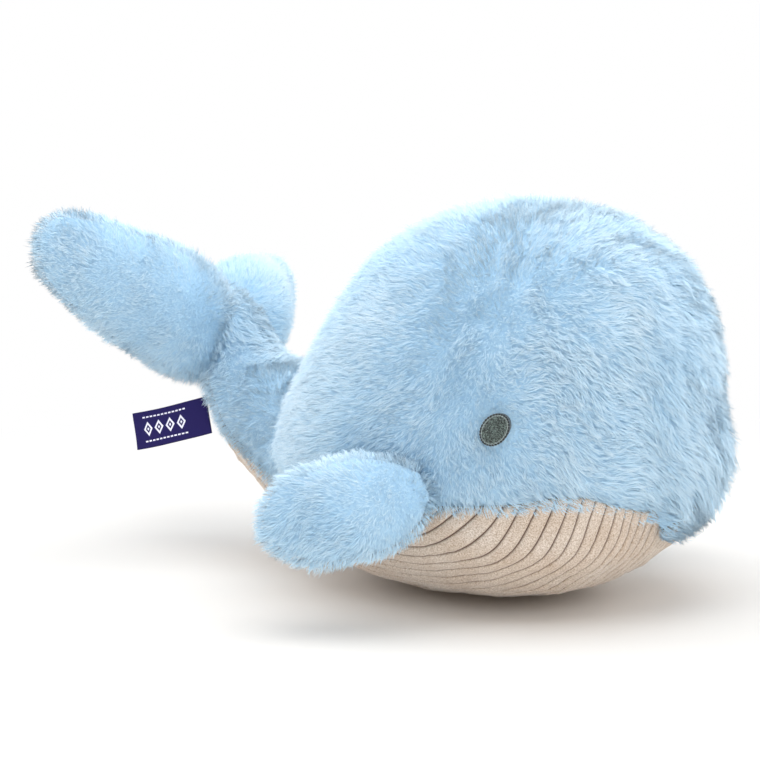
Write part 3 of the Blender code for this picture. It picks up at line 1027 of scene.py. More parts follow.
@dataclass
class HairKind:
    """One kind of hair: how dense, thick and bent it is. A hair is a bundle of fibres, with few faces."""

    density: float
    shares: tuple[float, ...]
    half_widths: tuple[float, ...]
    length: float
    clump: float
    flat: float = 0.55

    @property
    def marks(self) -> Array:
        """Where along the hair its points are."""
        return np.array([0.0, *self.shares, 1.0])

    def faces(self) -> Array:
        """Joins one closed hair's points: a root point, rings of three points, and a tip.

        Returns:
            Its triangles.
        """
        rings = len(self.shares)
        rows = [(0, 1 + (k + 1) % 3, 1 + k) for k in range(3)]
        for ring in range(rings - 1):
            low, high = 1 + 3 * ring, 4 + 3 * ring
            for k in range(3):
                other = (k + 1) % 3
                rows += [(low + k, low + other, high + other), (low + k, high + other, high + k)]
        top = 1 + 3 * (rings - 1)
        rows += [(top + k, top + (k + 1) % 3, top + 3) for k in range(3)]
        return np.array(rows)[:, ::-1]

    def rings(self, line: Array, normal: Array) -> Array:
        """Puts rings of three points round each middle line.

        Args:
            line: the middle lines.
            normal: the skin's normal at each root.

        Returns:
            Hairs by points by three: the root, the rings and the tip.
        """
        rows = [line[:, :1]]
        angles = np.radians([90, 210, 330])
        for number, half in enumerate(self.half_widths, start=1):
            along = unit(line[:, number + 1] - line[:, number - 1])
            wide = unit(np.cross(along, normal + 0.001))
            high = np.cross(wide, along)
            ring = wide[:, None] * np.cos(angles)[:, None] * half
            ring = ring + high[:, None] * np.sin(angles)[:, None] * half * self.flat
            rows.append(line[:, number : number + 1] + ring)
        rows.append(line[:, -1:])
        return np.concatenate(rows, axis=1)

    def map(self, tone: Array) -> Array:
        """The map of each hair: V is the place along it, and U its tone, a little apart round each ring.

        Args:
            tone: each hair's tone.

        Returns:
            Hairs by points by two.
        """
        heights = [0.0] + [share for share in self.shares for _ in range(3)] + [1.0]
        offsets = [0.02] + [0.0, 0.02, 0.04] * len(self.shares) + [0.02]
        uv = np.zeros((len(tone), len(heights), 2))
        uv[..., 0] = tone[:, None] + np.array(offsets)
        uv[..., 1] = np.array(heights)
        return uv


@dataclass(frozen=True)
class Spread:
    """How much hairs or tufts differ: their turns in degrees, their leans and their lengths."""

    turn: float
    lean: float
    length: float

    def draw(self, count: int, rng: np.random.Generator) -> dict[str, Array]:
        """Random turns, leans, lengths and phases.

        Args:
            count: how many hairs.
            rng: the random numbers.

        Returns:
            One value of each for each hair.
        """
        return {
            "turn": rng.normal(0, self.turn, count),
            "lean": rng.normal(0, self.lean, count),
            "length": 1 + rng.normal(0, self.length, count).clip(-2 * self.length, 2 * self.length),
            "phase": rng.uniform(0, TURN, count),
        }


@dataclass
class Coat:
    """The pile of a ground: tufts of hairs that lean with the nap and gather at their tips."""

    ground: Ground
    seed: int
    kinds: tuple[HairKind, ...]
    keep_out: Callable[[Array], Array] | None = None
    tuft: float = 1.9 * MM
    full_lean: float = 68.0
    softness: float = 0.42
    swirl_turn: float = 17.0
    ripple_turn: float = 11.0
    mottle_lean: float = 0.12
    wave: float = 0.28 * MM
    wave_turns: float = 5.0
    phase_spread: float = 0.5
    frizz: float = 0.35 * MM
    shading: float = 0.10
    tufts: Spread = Spread(10, 0.09, 0.12)
    strands: Spread = Spread(13, 0.08, 0.10)
    swirl: Waves = field(default_factory=lambda: Waves(30 * MM, 11))
    ripple: Waves = field(default_factory=lambda: Waves(9 * MM, 12))
    mottle: Waves = field(default_factory=lambda: Waves(16 * MM, 13))

    def lines(self, roots: dict[str, Array], own: dict[str, Array], marks: Array) -> Array:
        """The bent middle line of each hair.

        Args:
            roots: what sown gives.
            own: each hair's turn in degrees, its change of lean, its length and its phase.
            marks: where along the hair its points are.

        Returns:
            Hairs by points by three, the first being the root.
        """
        place, normal = roots["points"], roots["normals"]
        flat = along_skin(roots["nap"], normal)
        side = np.cross(normal, flat)
        turn = self.swirl_turn * self.swirl.at(place) + self.ripple_turn * self.ripple.at(place)
        turn = np.radians(turn + own["turn"])
        heading = flat * np.cos(turn)[:, None] + side * np.sin(turn)[:, None]
        lean = np.linalg.norm(roots["nap"], axis=1) + self.mottle_lean * self.mottle.at(place) + own["lean"]
        middle, run = (marks[1:] + marks[:-1]) / 2, np.diff(marks)
        angle = np.radians(self.full_lean) * np.clip(lean, 0.05, 1.1)[:, None] * (0.3 + 0.85 * middle)
        up = (np.cos(angle) * run).sum(1)
        length = roots["height"] * own["length"] / np.maximum(up, 0.3)
        steps = normal[:, None] * np.cos(angle)[..., None] + heading[:, None] * np.sin(angle)[..., None]
        path = np.cumsum(steps * (run * length[:, None])[..., None], axis=1)
        wave = np.sin(marks[1:] * self.wave_turns + own["phase"][:, None]) - np.sin(own["phase"])[:, None]
        path = path + np.cross(normal, heading)[:, None] * (wave * self.wave)[..., None]
        return place[:, None] + np.concatenate([np.zeros((len(place), 1, 3)), path], axis=1)

    def grow(self) -> tuple[Array, ...]:
        """Grows all the hairs.

        Returns:
            Points, triangles, map and shading normals of the whole coat, and each triangle's root.
        """
        rng = np.random.default_rng(self.seed)
        parts: list[tuple[Array, ...]] = []
        start = 0
        centres = self.ground.sown(1 / self.tuft**2, rng)
        size = len(centres["points"])
        tufts = self.tufts.draw(size, rng)
        shade = rng.normal(0, self.shading, size)
        tree = KDTree(size)
        for number, place in enumerate(centres["points"].tolist()):
            tree.insert(place, number)
        tree.balance()
        for kind in self.kinds:
            roots = self.ground.sown(kind.density, rng)
            count = len(roots["points"])
            near = np.array([tree.find(place)[1] for place in roots["points"].tolist()])
            own = self.strands.draw(count, rng)
            for name in ("turn", "lean"):
                own[name] += tufts[name][near]
            own["length"] *= tufts["length"][near] * kind.length
            own["phase"] = tufts["phase"][near] + rng.normal(0, self.phase_spread, count)
            line = self.lines(roots, own, kind.marks)
            target = self.lines(centres, {**tufts, "length": tufts["length"] * kind.length}, kind.marks)[near]
            pull = (kind.clump * kind.marks**1.4)[None, :, None]
            line = line * (1 - pull) + target * pull
            line = line + rng.normal(0, self.frizz, (count, 1, 3)) * (kind.marks**1.5)[None, :, None]
            keep = np.ones(count, bool) if self.keep_out is None else self.keep_out(line)
            line, normal, tone = line[keep], roots["normals"][keep], (roots["tone"] + shade[near])[keep]
            tone = (tone + rng.normal(0, self.shading, len(tone))).clip(0.02, 0.94)
            points = kind.rings(line, normal)
            size, pattern = points.shape[1], kind.faces()
            faces = (pattern[None] + start + np.arange(len(points))[:, None, None] * size).reshape(-1, 3)
            centre = np.concatenate([line[:, :1], np.repeat(line[:, 1:-1], 3, axis=1), line[:, -1:]], axis=1)
            soft = unit(unit(points - centre) * (1 - self.softness) + normal[:, None] * self.softness)
            roots_of = np.repeat(line[:, 0], len(pattern), axis=0)
            uv = kind.map(tone).reshape(-1, 2)
            parts.append((points.reshape(-1, 3), faces, uv, soft.reshape(-1, 3), roots_of))
            start += len(points) * size
        return tuple(np.concatenate(rows) for rows in zip(*parts))


# ---------------------------------------------------------------- corduroy


@dataclass
class WaleLine:
    """One fore-and-aft line over the underside, from the front seam to its rear end."""

    points: Array
    normals: Array
    kinds: Array

    def part(self, first: int, last: int, rows: int) -> tuple[Array, Array]:
        """Places rows evenly along a part of the line.

        Args:
            first: the part's first point.
            last: the point after its last.
            rows: how many rows.

        Returns:
            The rows' points and normals.
        """
        line = self.points[first:last]
        arc = run_of(line)
        at = np.linspace(0, arc[-1], rows)
        points, normals = (
            np.stack([np.interp(at, arc, values[first:last, i]) for i in range(3)], -1)
            for values in (self.points, self.normals)
        )
        return points, unit(normals)


def cut_loops(points: Array, faces: Array, normals: Array, y: float) -> list[tuple[Array, Array]]:
    """Cuts a closed triangle mesh by the plane y.

    Args:
        points: the mesh's points.
        faces: its triangles.
        normals: its points' normals.
        y: the plane's place.

    Returns:
        The points and normals of each closed loop.
    """
    gap = points[:, 1] - y
    gap[gap == 0] = 1e-9
    above = gap[faces] > 0
    crossing = faces[above.any(1) & ~above.all(1)]
    up = gap[crossing] > 0
    lone = np.where(up.sum(1) == 1, up.argmax(1), (~up).argmax(1))
    rows = np.arange(len(crossing))
    tip = crossing[rows, lone]
    ends = np.stack([crossing[rows, (lone + 1) % 3], crossing[rows, (lone + 2) % 3]], -1)
    neighbours: dict[tuple[int, int], list[tuple[int, int]]] = {}
    for t, (a, b) in zip(tip.tolist(), ends.tolist()):
        first, second = (min(t, a), max(t, a)), (min(t, b), max(t, b))
        neighbours.setdefault(first, []).append(second)
        neighbours.setdefault(second, []).append(first)
    loops, left = [], set(neighbours)
    while left:
        here = next(iter(left))
        chain = []
        while here is not None:
            left.discard(here)
            chain.append(here)
            here = next((n for n in neighbours[here] if n in left), None)
        low, high = np.array(chain).T
        share = (gap[low] / (gap[low] - gap[high]))[:, None]
        place, normal = (values[low] * (1 - share) + values[high] * share for values in (points, normals))
        loops.append((place, unit(normal)))
    return loops


@dataclass
class Underside:
    """The corduroy: a belly sheet and the strip under the tail, on the same fore-and-aft wales."""

    skin: Piece
    material: bpy.types.Material
    pitch: float = 5.6 * MM
    groove_depth: float = 1.6 * MM
    lift: float = 1.6 * MM
    tuck: float = 3.0 * MM
    marks: tuple[float, ...] = (0.0, 0.045, 0.10, 0.18, 0.30, 0.43, 0.57, 0.70, 0.82, 0.90, 0.955)
    middle_x: float = 0.010
    belly_rows: int = 72
    strip_rows: int = 40
    fewest: int = 3

    def columns(self, points: Array, faces: Array, normals: Array) -> list[tuple[float, float]]:
        """Spaces the lines evenly along the skin, across its middle.

        Args:
            points: the skin's points.
            faces: its triangles.
            normals: its points' normals.

        Returns:
            Each line's plane and its share of a wale.
        """
        swap = [1, 0, 2]
        loops = cut_loops(points[:, swap], faces, normals[:, swap], self.middle_x)
        loop = max(loops, key=lambda found: len(found[0]))[0][:, swap]
        low = int(np.argmin(loop[:, 2] + abs(loop[:, 1]) * 0.2))
        loop = np.roll(loop, -low, axis=0)
        if loop[5, 1] < 0:
            loop = np.roll(loop[::-1], 1, axis=0)
        half = loop[: int(np.argmax(loop[:, 1])) + 1]
        arc = run_of(half)
        found = []
        count = int(arc[-1] / self.pitch) + 1
        for wale in range(-count, count + 1):
            for mark in self.marks:
                place = (wale - 0.5 + mark) * self.pitch
                if abs(place) < arc[-1]:
                    y = float(np.interp(abs(place), arc, half[:, 1]))
                    found.append((math.copysign(y, place), mark))
        return found

    def trace(self, loop: tuple[Array, Array], trees: Sequence[BVHTree]) -> WaleLine | None:
        """Follows one loop along the underside.

        Args:
            loop: the points and normals of the cut.
            trees: search trees of the belly, the strip and the pile's panels.

        Returns:
            The line, or nothing where the loop has no corduroy.
        """
        points, normals = loop
        belly, strip, fur = (distances(tree, points) for tree in trees)
        cord = np.minimum(belly, strip) - fur + lap(points)
        low = int(np.argmin(np.where(cord < 0, points[:, 2] + abs(points[:, 0] - self.middle_x) * 0.05, 9)))
        if cord[low] >= 0:
            return None
        size = len(points)
        order = np.roll(np.arange(size), -low)
        if points[order[min(6, size - 1)], 0] < points[order[0], 0]:
            order = np.roll(order[::-1], 1)
        front = self.walk(order[1:], points, cord)
        back = self.walk(order[::-1][:-1], points, cord)
        chain = front[::-1] + [order[0]] + back
        kind = self.sampled(chain, (strip - belly)[:, None])[:, 0]
        return WaleLine(self.sampled(chain, points), unit(self.sampled(chain, normals)), kind)

    def walk(self, order: Array, points: Array, cord: Array) -> list[int | tuple[int, int, float]]:
        """Goes on from the lowest point until the pile begins, and a little under it.

        Args:
            order: the points' numbers, in the order of the walk.
            points: the points.
            cord: below 0 where a point is on the corduroy.

        Returns:
            The numbers that it passed, and last two numbers with a share, for the end between them.
        """
        found: list[int | tuple[int, int, float]] = []
        beyond, last = None, None
        for number in order.tolist():
            length = 0.0 if last is None else float(np.linalg.norm(points[number] - points[last]))
            if beyond is None and cord[number] >= 0:
                beyond = 0.0 if last is None else -float(cord[last] / (cord[last] - cord[number])) * length
            if beyond is not None:
                if beyond + length >= self.tuck:
                    found.append((last, number, (self.tuck - beyond) / max(length, 1e-9)))
                    break
                beyond += length
            found.append(number)
            last = number
        return found

    @staticmethod
    def sampled(chain: list, values: Array) -> Array:
        """Reads values along a chain whose ends lie between two points.

        Args:
            chain: what walk gives.
            values: one row for each point.

        Returns:
            One row for each item of the chain.
        """
        rows = []
        for item in chain:
            first, second, share = item if isinstance(item, tuple) else (item, item, 0.0)
            rows.append(values[first] * (1 - share) + values[second] * share)
        return np.array(rows)

    def sheet(self, name: str, columns: list[tuple[float, Array, Array]]) -> Piece:
        """Builds a closed sheet with its wales.

        Args:
            name: the piece's name.
            columns: each line's share of a wale, its points and its normals.

        Returns:
            The piece.
        """
        marks, base, normals = (np.stack(values) for values in zip(*columns))
        crest = 1 - np.abs(2 * marks - 1) ** 5
        crest = np.where(marks == 0, 0, crest) ** 0.7
        wobble = Waves(22 * MM, 31).at(base) * 0.25 * MM
        fine = Waves(7 * MM, 32).at(base) * 0.12 * MM
        outer = base + normals * (self.lift + (self.groove_depth * crest)[:, None] + wobble + fine)[..., None]
        outer[..., 2] = np.maximum(outer[..., 2], 0.0)
        inner = base + normals * 0.1 * MM
        inner[..., 2] = np.maximum(inner[..., 2], 0.4 * MM)
        points, faces = closed_sheet(outer, inner)
        tops = faces[: (outer.shape[0] - 1) * (outer.shape[1] - 1), :3]
        if (across_faces(points, tops) * normals.reshape(-1, 3)[tops[:, 0]]).sum() < 0:
            faces = faces[:, ::-1]
        obj = new_object(name, points, faces)
        crests = np.repeat(crest, outer.shape[1])
        point_value(obj, "wale", np.concatenate([crests, np.zeros(len(crests))]))
        obj.data.materials.append(self.material)
        return obj

    def build(self) -> list[Piece]:
        """Builds the belly sheet and the tail strip.

        Returns:
            The two pieces.
        """
        points, faces = mesh_of(self.skin)
        normals = point_normals(points, faces)
        trees = [tree_of(node) for node in CORD_NODES] + [tree_of(*FUR_NODES)]
        belly, strip = [], []
        for y, mark in self.columns(points, faces, normals):
            loops = cut_loops(points, faces, normals, y)
            line = self.trace(max(loops, key=lambda found: len(found[0])), trees) if loops else None
            if line is None or len(line.points) <= self.fewest:
                continue
            size, on_strip = len(line.points), line.kinds < 0
            cut = int(np.argmax(on_strip)) if on_strip.any() else size
            if cut > self.fewest:
                belly.append((mark, *line.part(0, min(cut + 1, size), self.belly_rows)))
            if on_strip.any() and size - cut > self.fewest:
                strip.append((mark, *line.part(cut, size, self.strip_rows)))
        made = [self.sheet("belly_corduroy", belly), self.sheet("tail_corduroy", strip)]
        for obj, node in zip(made, CORD_NODES):
            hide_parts(node)
            log.info("piece %s: %d points", obj.name, len(obj.data.vertices))
        return made


# ---------------------------------------------------------------- eyes and label


@dataclass
class Place:
    """A flat node's own axes: its centre, its long and short way, its outward normal, and its sizes."""

    centre: Array
    long: Array
    short: Array
    out: Array
    size: Array

    @classmethod
    def of(cls, node: str, behind: Triple) -> "Place":
        """Reads them from the node's mesh.

        Args:
            node: the CAD node.
            behind: a point that the normal turns away from.

        Returns:
            The place.
        """
        points = points_of(frame["nodes"][node])
        axes = np.linalg.svd(points - points.mean(0))[2].copy()
        if ((points.max(0) + points.min(0)) / 2 - behind) @ axes[2] < 0:
            axes[2] *= -1
        if axes[0][2] < 0:
            axes[0] *= -1
        axes[1] = np.cross(axes[2], axes[0])
        spans = [points @ axis for axis in axes]
        centre = sum(axis * (span.max() + span.min()) / 2 for axis, span in zip(axes, spans))
        return cls(centre, *axes, np.array([np.ptp(span) for span in spans]))

    def turned(self, degrees: float, scale: tuple[float, float]) -> "Place":
        """The same place with its long way leaning to the front, and its sizes scaled.

        Args:
            degrees: how far it leans.
            scale: the changes of its long and its short size.

        Returns:
            The new place.
        """
        angle = math.radians(degrees) * (1 if self.short[0] > 0 else -1)
        long = self.long * math.cos(angle) + self.short * math.sin(angle)
        return Place(self.centre, long, np.cross(self.out, long), self.out, self.size * np.array([*scale, 1.0]))

    def at(self, along: Array, across: Array, out: Array) -> Array:
        """Points from local sizes along the three axes."""
        flat = self.centre + np.multiply.outer(along, self.long) + np.multiply.outer(across, self.short)
        return flat + np.multiply.outer(out, self.out)


@dataclass
class Eye:
    """A stitched eye: a padded disc with rows of fill stitches, a satin ring and a dark outline."""

    side: str
    fill_finish: ThreadFinish = ThreadFinish("grey_green_thread", "#111818", "#748780")
    ring_finish: ThreadFinish = ThreadFinish("pale_satin_thread", "#75827F", "#A7B3AF")
    line_finish: ThreadFinish = ThreadFinish("dark_outline_thread", "#141919", "#20282A")
    crown: float = 1.3 * MM
    thread: float = 0.42 * MM
    row_gap: float = 0.92
    stitch: float = 2.0 * MM
    shortest: float = 0.4 * MM
    end_room: float = 0.3 * MM
    waver: float = 0.03 * MM
    ring_width: float = 1.0 * MM
    ring_count: int = 92
    outline_count: int = 32
    # Along a stitch: the share of its length, its lift there, and its width.
    bow: tuple[Triple, ...] = (
        (0.0, -0.8, 0.45),
        (0.22, 0.35, 0.95),
        (0.5, 1.0, 1.0),
        (0.78, 0.35, 0.95),
        (1.0, -0.8, 0.45),
    )
    squat: float = 0.85
    sunk: float = 0.3 * MM
    pad_size: float = 0.93
    pad_behind: float = 3.0 * MM
    pad_under: float = 0.25 * MM
    pad_insets: tuple[float, ...] = (0.12, 0.2, 0.25, 0.2)
    smaller: tuple[float, float] = (0.93, 0.78)
    tilt: float = 14.0
    head_middle: Triple = (0.0, 0.0, 0.09)
    place: Place | None = None

    def __post_init__(self) -> None:
        """Finds the eye's place."""
        self.place = Place.of(f"{self.side}_eye", self.head_middle).turned(self.tilt, self.smaller)

    def height(self, along: Array, across: Array) -> Array:
        """How far the padded disc stands out.

        Args:
            along: local places along the eye.
            across: local places across it.

        Returns:
            A height for each.
        """
        near = (along / (self.place.size[0] / 2)) ** 2 + (across / (self.place.size[1] / 2)) ** 2
        top = self.place.size[2] / 2 - self.crown
        return top + self.crown * np.sqrt(np.clip(1 - self.squat * near, 0, 1)) - self.sunk

    def pad(self) -> Piece:
        """The padding under the stitches: a squat disc, with its rim rounded.

        Returns:
            The piece.
        """
        deselect()
        bpy.ops.mesh.primitive_cylinder_add(vertices=48, radius=1, depth=1)
        obj = bpy.context.object
        obj.name = obj.data.name = f"{self.side}_eye_padding"
        bpy.ops.object.mode_set(mode="EDIT")
        bpy.ops.mesh.select_all(action="DESELECT")
        bpy.ops.object.mode_set(mode="OBJECT")
        for face in obj.data.polygons:
            face.select = face.normal.z > 0.9
        bpy.ops.object.mode_set(mode="EDIT")
        for share in self.pad_insets:
            bpy.ops.mesh.inset(thickness=share)
        bpy.ops.object.mode_set(mode="OBJECT")
        points = points_of(obj)
        half = self.place.size / 2
        along, across = points[:, 0] * half[0] * self.pad_size, points[:, 1] * half[1] * self.pad_size
        out = np.where(points[:, 2] < 0, -half[2] - self.pad_behind, self.height(along, across) - self.pad_under)
        set_points(obj, self.place.at(along, across, out))
        edit_all(obj, bpy.ops.mesh.normals_make_consistent, inside=False)
        bpy.ops.object.shade_smooth_by_angle(angle=math.radians(50))
        return obj

    def stitches(self, name: str, starts: Array, ends: Array, thread: float, lift: float) -> Piece:
        """Lays stitches on the disc, each a closed bow of thread.

        Args:
            name: the piece's name.
            starts: local starts, along and across.
            ends: local ends.
            thread: the thread's thickness.
            lift: how far a stitch's middle is lifted.

        Returns:
            The piece.
        """
        along = unit(np.pad(ends - starts, ((0, 0), (0, 1))))
        side = np.stack([-along[:, 1], along[:, 0]], -1)
        rings = []
        for share, bow, wide in self.bow:
            middle = starts * (1 - share) + ends * share
            for angle in np.radians([90, 180, 270, 360]):
                spot = (middle + side * math.cos(angle) * thread / 2 * wide).T
                rise = self.height(*spot) + lift * bow + math.sin(angle) * thread * 0.4 * wide
                rings.append(self.place.at(*spot, rise))
        points = np.stack(rings, 1)
        size = points.shape[1]
        pattern = []
        for ring in range(0, size - 4, 4):
            for k in range(4):
                low, high = ring + k, ring + (k + 1) % 4
                pattern.append((low, high, high + 4, low + 4))
        pattern += [(3, 2, 1, 0), (size - 4, size - 3, size - 2, size - 1)]
        faces = (np.array(pattern)[None] + np.arange(len(points))[:, None, None] * size).reshape(-1, 4)
        return new_object(f"{self.side}_eye_{name}", points.reshape(-1, 3), faces)

    def fill_rows(self, half: Array) -> tuple[Array, Array]:
        """Lays out the rows of fill stitches.

        Args:
            half: half the long and the short size of what they fill.

        Returns:
            The stitches' starts and ends.
        """
        rng = np.random.default_rng(5)
        starts, ends = [], []
        gap = self.thread * self.row_gap
        for row in range(int(2 * half[0] / gap) + 1):
            along = -half[0] + row * gap
            reach = half[1] * math.sqrt(max(1 - (along / half[0]) ** 2, 0))
            if reach < self.shortest:
                continue
            cuts = [-reach]
            mark = -reach + (row * 0.37) % 1 * self.stitch + self.end_room
            while mark < reach - self.end_room:
                cuts.append(mark)
                mark += self.stitch * float(rng.uniform(0.85, 1.15))
            cuts.append(reach)
            for a, b in zip(cuts, cuts[1:]):
                starts.append((along + rng.normal(0, self.waver), a))
                ends.append((along + rng.normal(0, self.waver), b))
        return np.array(starts), np.array(ends)

    def round_at(self, turns: Array, inwards: float) -> Array:
        """Local places round the eye, this far inside its edge."""
        half = self.place.size[:2] / 2 - inwards
        return np.stack([np.cos(turns) * half[0], np.sin(turns) * half[1]], -1)

    def build(self) -> None:
        """Builds the padding, the fill, the ring and the outline."""
        starts, ends = self.fill_rows(self.place.size[:2] / 2 - self.ring_width)
        fill = self.stitches("fill_stitches", starts, ends, self.thread, 0.12 * MM)
        turns = np.linspace(0, TURN, self.ring_count, endpoint=False)
        inner, outer = self.round_at(turns, self.ring_width * 1.05), self.round_at(turns + 0.05, 0.4 * MM)
        ring = self.stitches("satin_ring", inner, outer, self.thread * 1.15, 0.22 * MM)
        outline = self.round_at(np.linspace(0, TURN, self.outline_count + 1), 0.05 * MM)
        edge = self.stitches("outline", outline[:-1], outline[1:], self.thread * 2.0, 0.15 * MM)
        pad = self.pad()
        finishes = (self.line_finish, self.fill_finish, self.ring_finish, self.line_finish)
        for obj, finish in zip((pad, fill, ring, edge), finishes):
            obj.data.materials.append(bpy.data.materials.get(finish.name) or finish.make())
            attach(obj, Body.MAIN.value)
        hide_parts(f"{self.side}_eye")
        log.info("eye %s: %d stitches", self.side, len(starts) + self.ring_count)


@dataclass
class Label:
    """A folded woven tape, sewn in at the side of the tail."""

    finish: TapeFinish
    node: str = "side_label"
    thickness: float = 0.5 * MM
    gap: float = 0.35 * MM
    curl: float = 2.2 * MM
    ripple: float = 0.35 * MM
    sag: float = 2.0 * MM
    tuck: float = 6.0 * MM
    columns: int = 60
    rows: int = 30
    fold_steps: int = 8
    margin: float = 0.01

    def profile(self, length: float) -> tuple[Array, Array]:
        """The tape's line in its section: out, round the fold, and back.

        Args:
            length: how far it stands out.

        Returns:
            The line's points, and how far out each is for the ornament.
        """
        run = np.linspace(-self.tuck, length - self.gap, self.columns)
        fold = np.linspace(0, math.pi, self.fold_steps + 2)[1:-1]
        half = self.thickness / 2 + self.gap / 2
        there = [(x, half) for x in run]
        turn = [(length - self.gap + math.sin(a) * half, math.cos(a) * half) for a in fold]
        back = [(x, -half) for x in run[::-1]]
        return np.array(there + turn + back), np.concatenate([run, np.full(self.fold_steps, length), run[::-1]])

    def build(self) -> None:
        """Builds the folded tape."""
        points = points_of(frame["nodes"][self.node])
        hinge = next(joint for joint in frame["joints"] if joint["name"] == "label_flap")
        origin = np.array(hinge["pos_m"], float)
        axis = unit(np.array(hinge["axis"], float))
        middle = points.mean(0) - origin
        out = unit(middle - axis * (middle @ axis))
        face = unit(np.cross(axis, out))
        local = (points - origin) @ np.stack([out, axis, face], -1)
        low, high = local.min(0), local.max(0)
        length, height = high[0] - low[0], high[1] - low[1]
        profile, arc = self.profile(length)
        number, across = np.meshgrid(np.arange(len(profile)), np.linspace(low[1], high[1], self.rows), indexing="ij")
        share = profile[number][..., 0] / length
        bend = self.curl * (share**2 - share) + self.ripple * np.sin(share * 7 + across / (4 * MM))
        sag = self.sag * share * (1 - share)
        tangent = np.gradient(profile, axis=0)
        normal = unit(np.stack([tangent[:, 1], -tangent[:, 0]], -1))
        sides = []
        for sign in (1, -1):
            offset = profile[number] + normal[number] * sign * self.thickness / 2
            parts = (offset[..., 0] + low[0], across + sag, offset[..., 1] + (low[2] + high[2]) / 2 + bend)
            spot = origin
            for part, way in zip(parts, (out, axis, face)):
                spot = spot + part[..., None] * way
            sides.append(spot)
        every, faces = closed_sheet(*sides)
        whole = run_of(profile)
        u = (whole / whole[-1])[number] * (1 - 2 * self.margin) + self.margin
        v = (across - low[1]) / height * (0.5 - 2 * self.margin) + self.margin
        uv = np.concatenate([np.stack([u, v + start], -1).reshape(-1, 2) for start in (0.0, 0.5)])
        obj = new_object("side_label_tape", every, faces, uv)
        edit_all(obj, bpy.ops.mesh.normals_make_consistent, inside=False)
        point_value(obj, "tape_along", np.tile(arc[number].ravel() / MM, 2))
        point_value(obj, "tape_across", np.tile((across - (low[1] + high[1]) / 2).ravel() / MM, 2))
        obj.data.materials.append(replace(self.finish, size=(whole[-1], height * 2)).make())
        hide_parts(self.node)
        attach(obj, Body.LABEL.value)
        log.info("piece %s", obj.name)


# ---------------------------------------------------------------- the whale


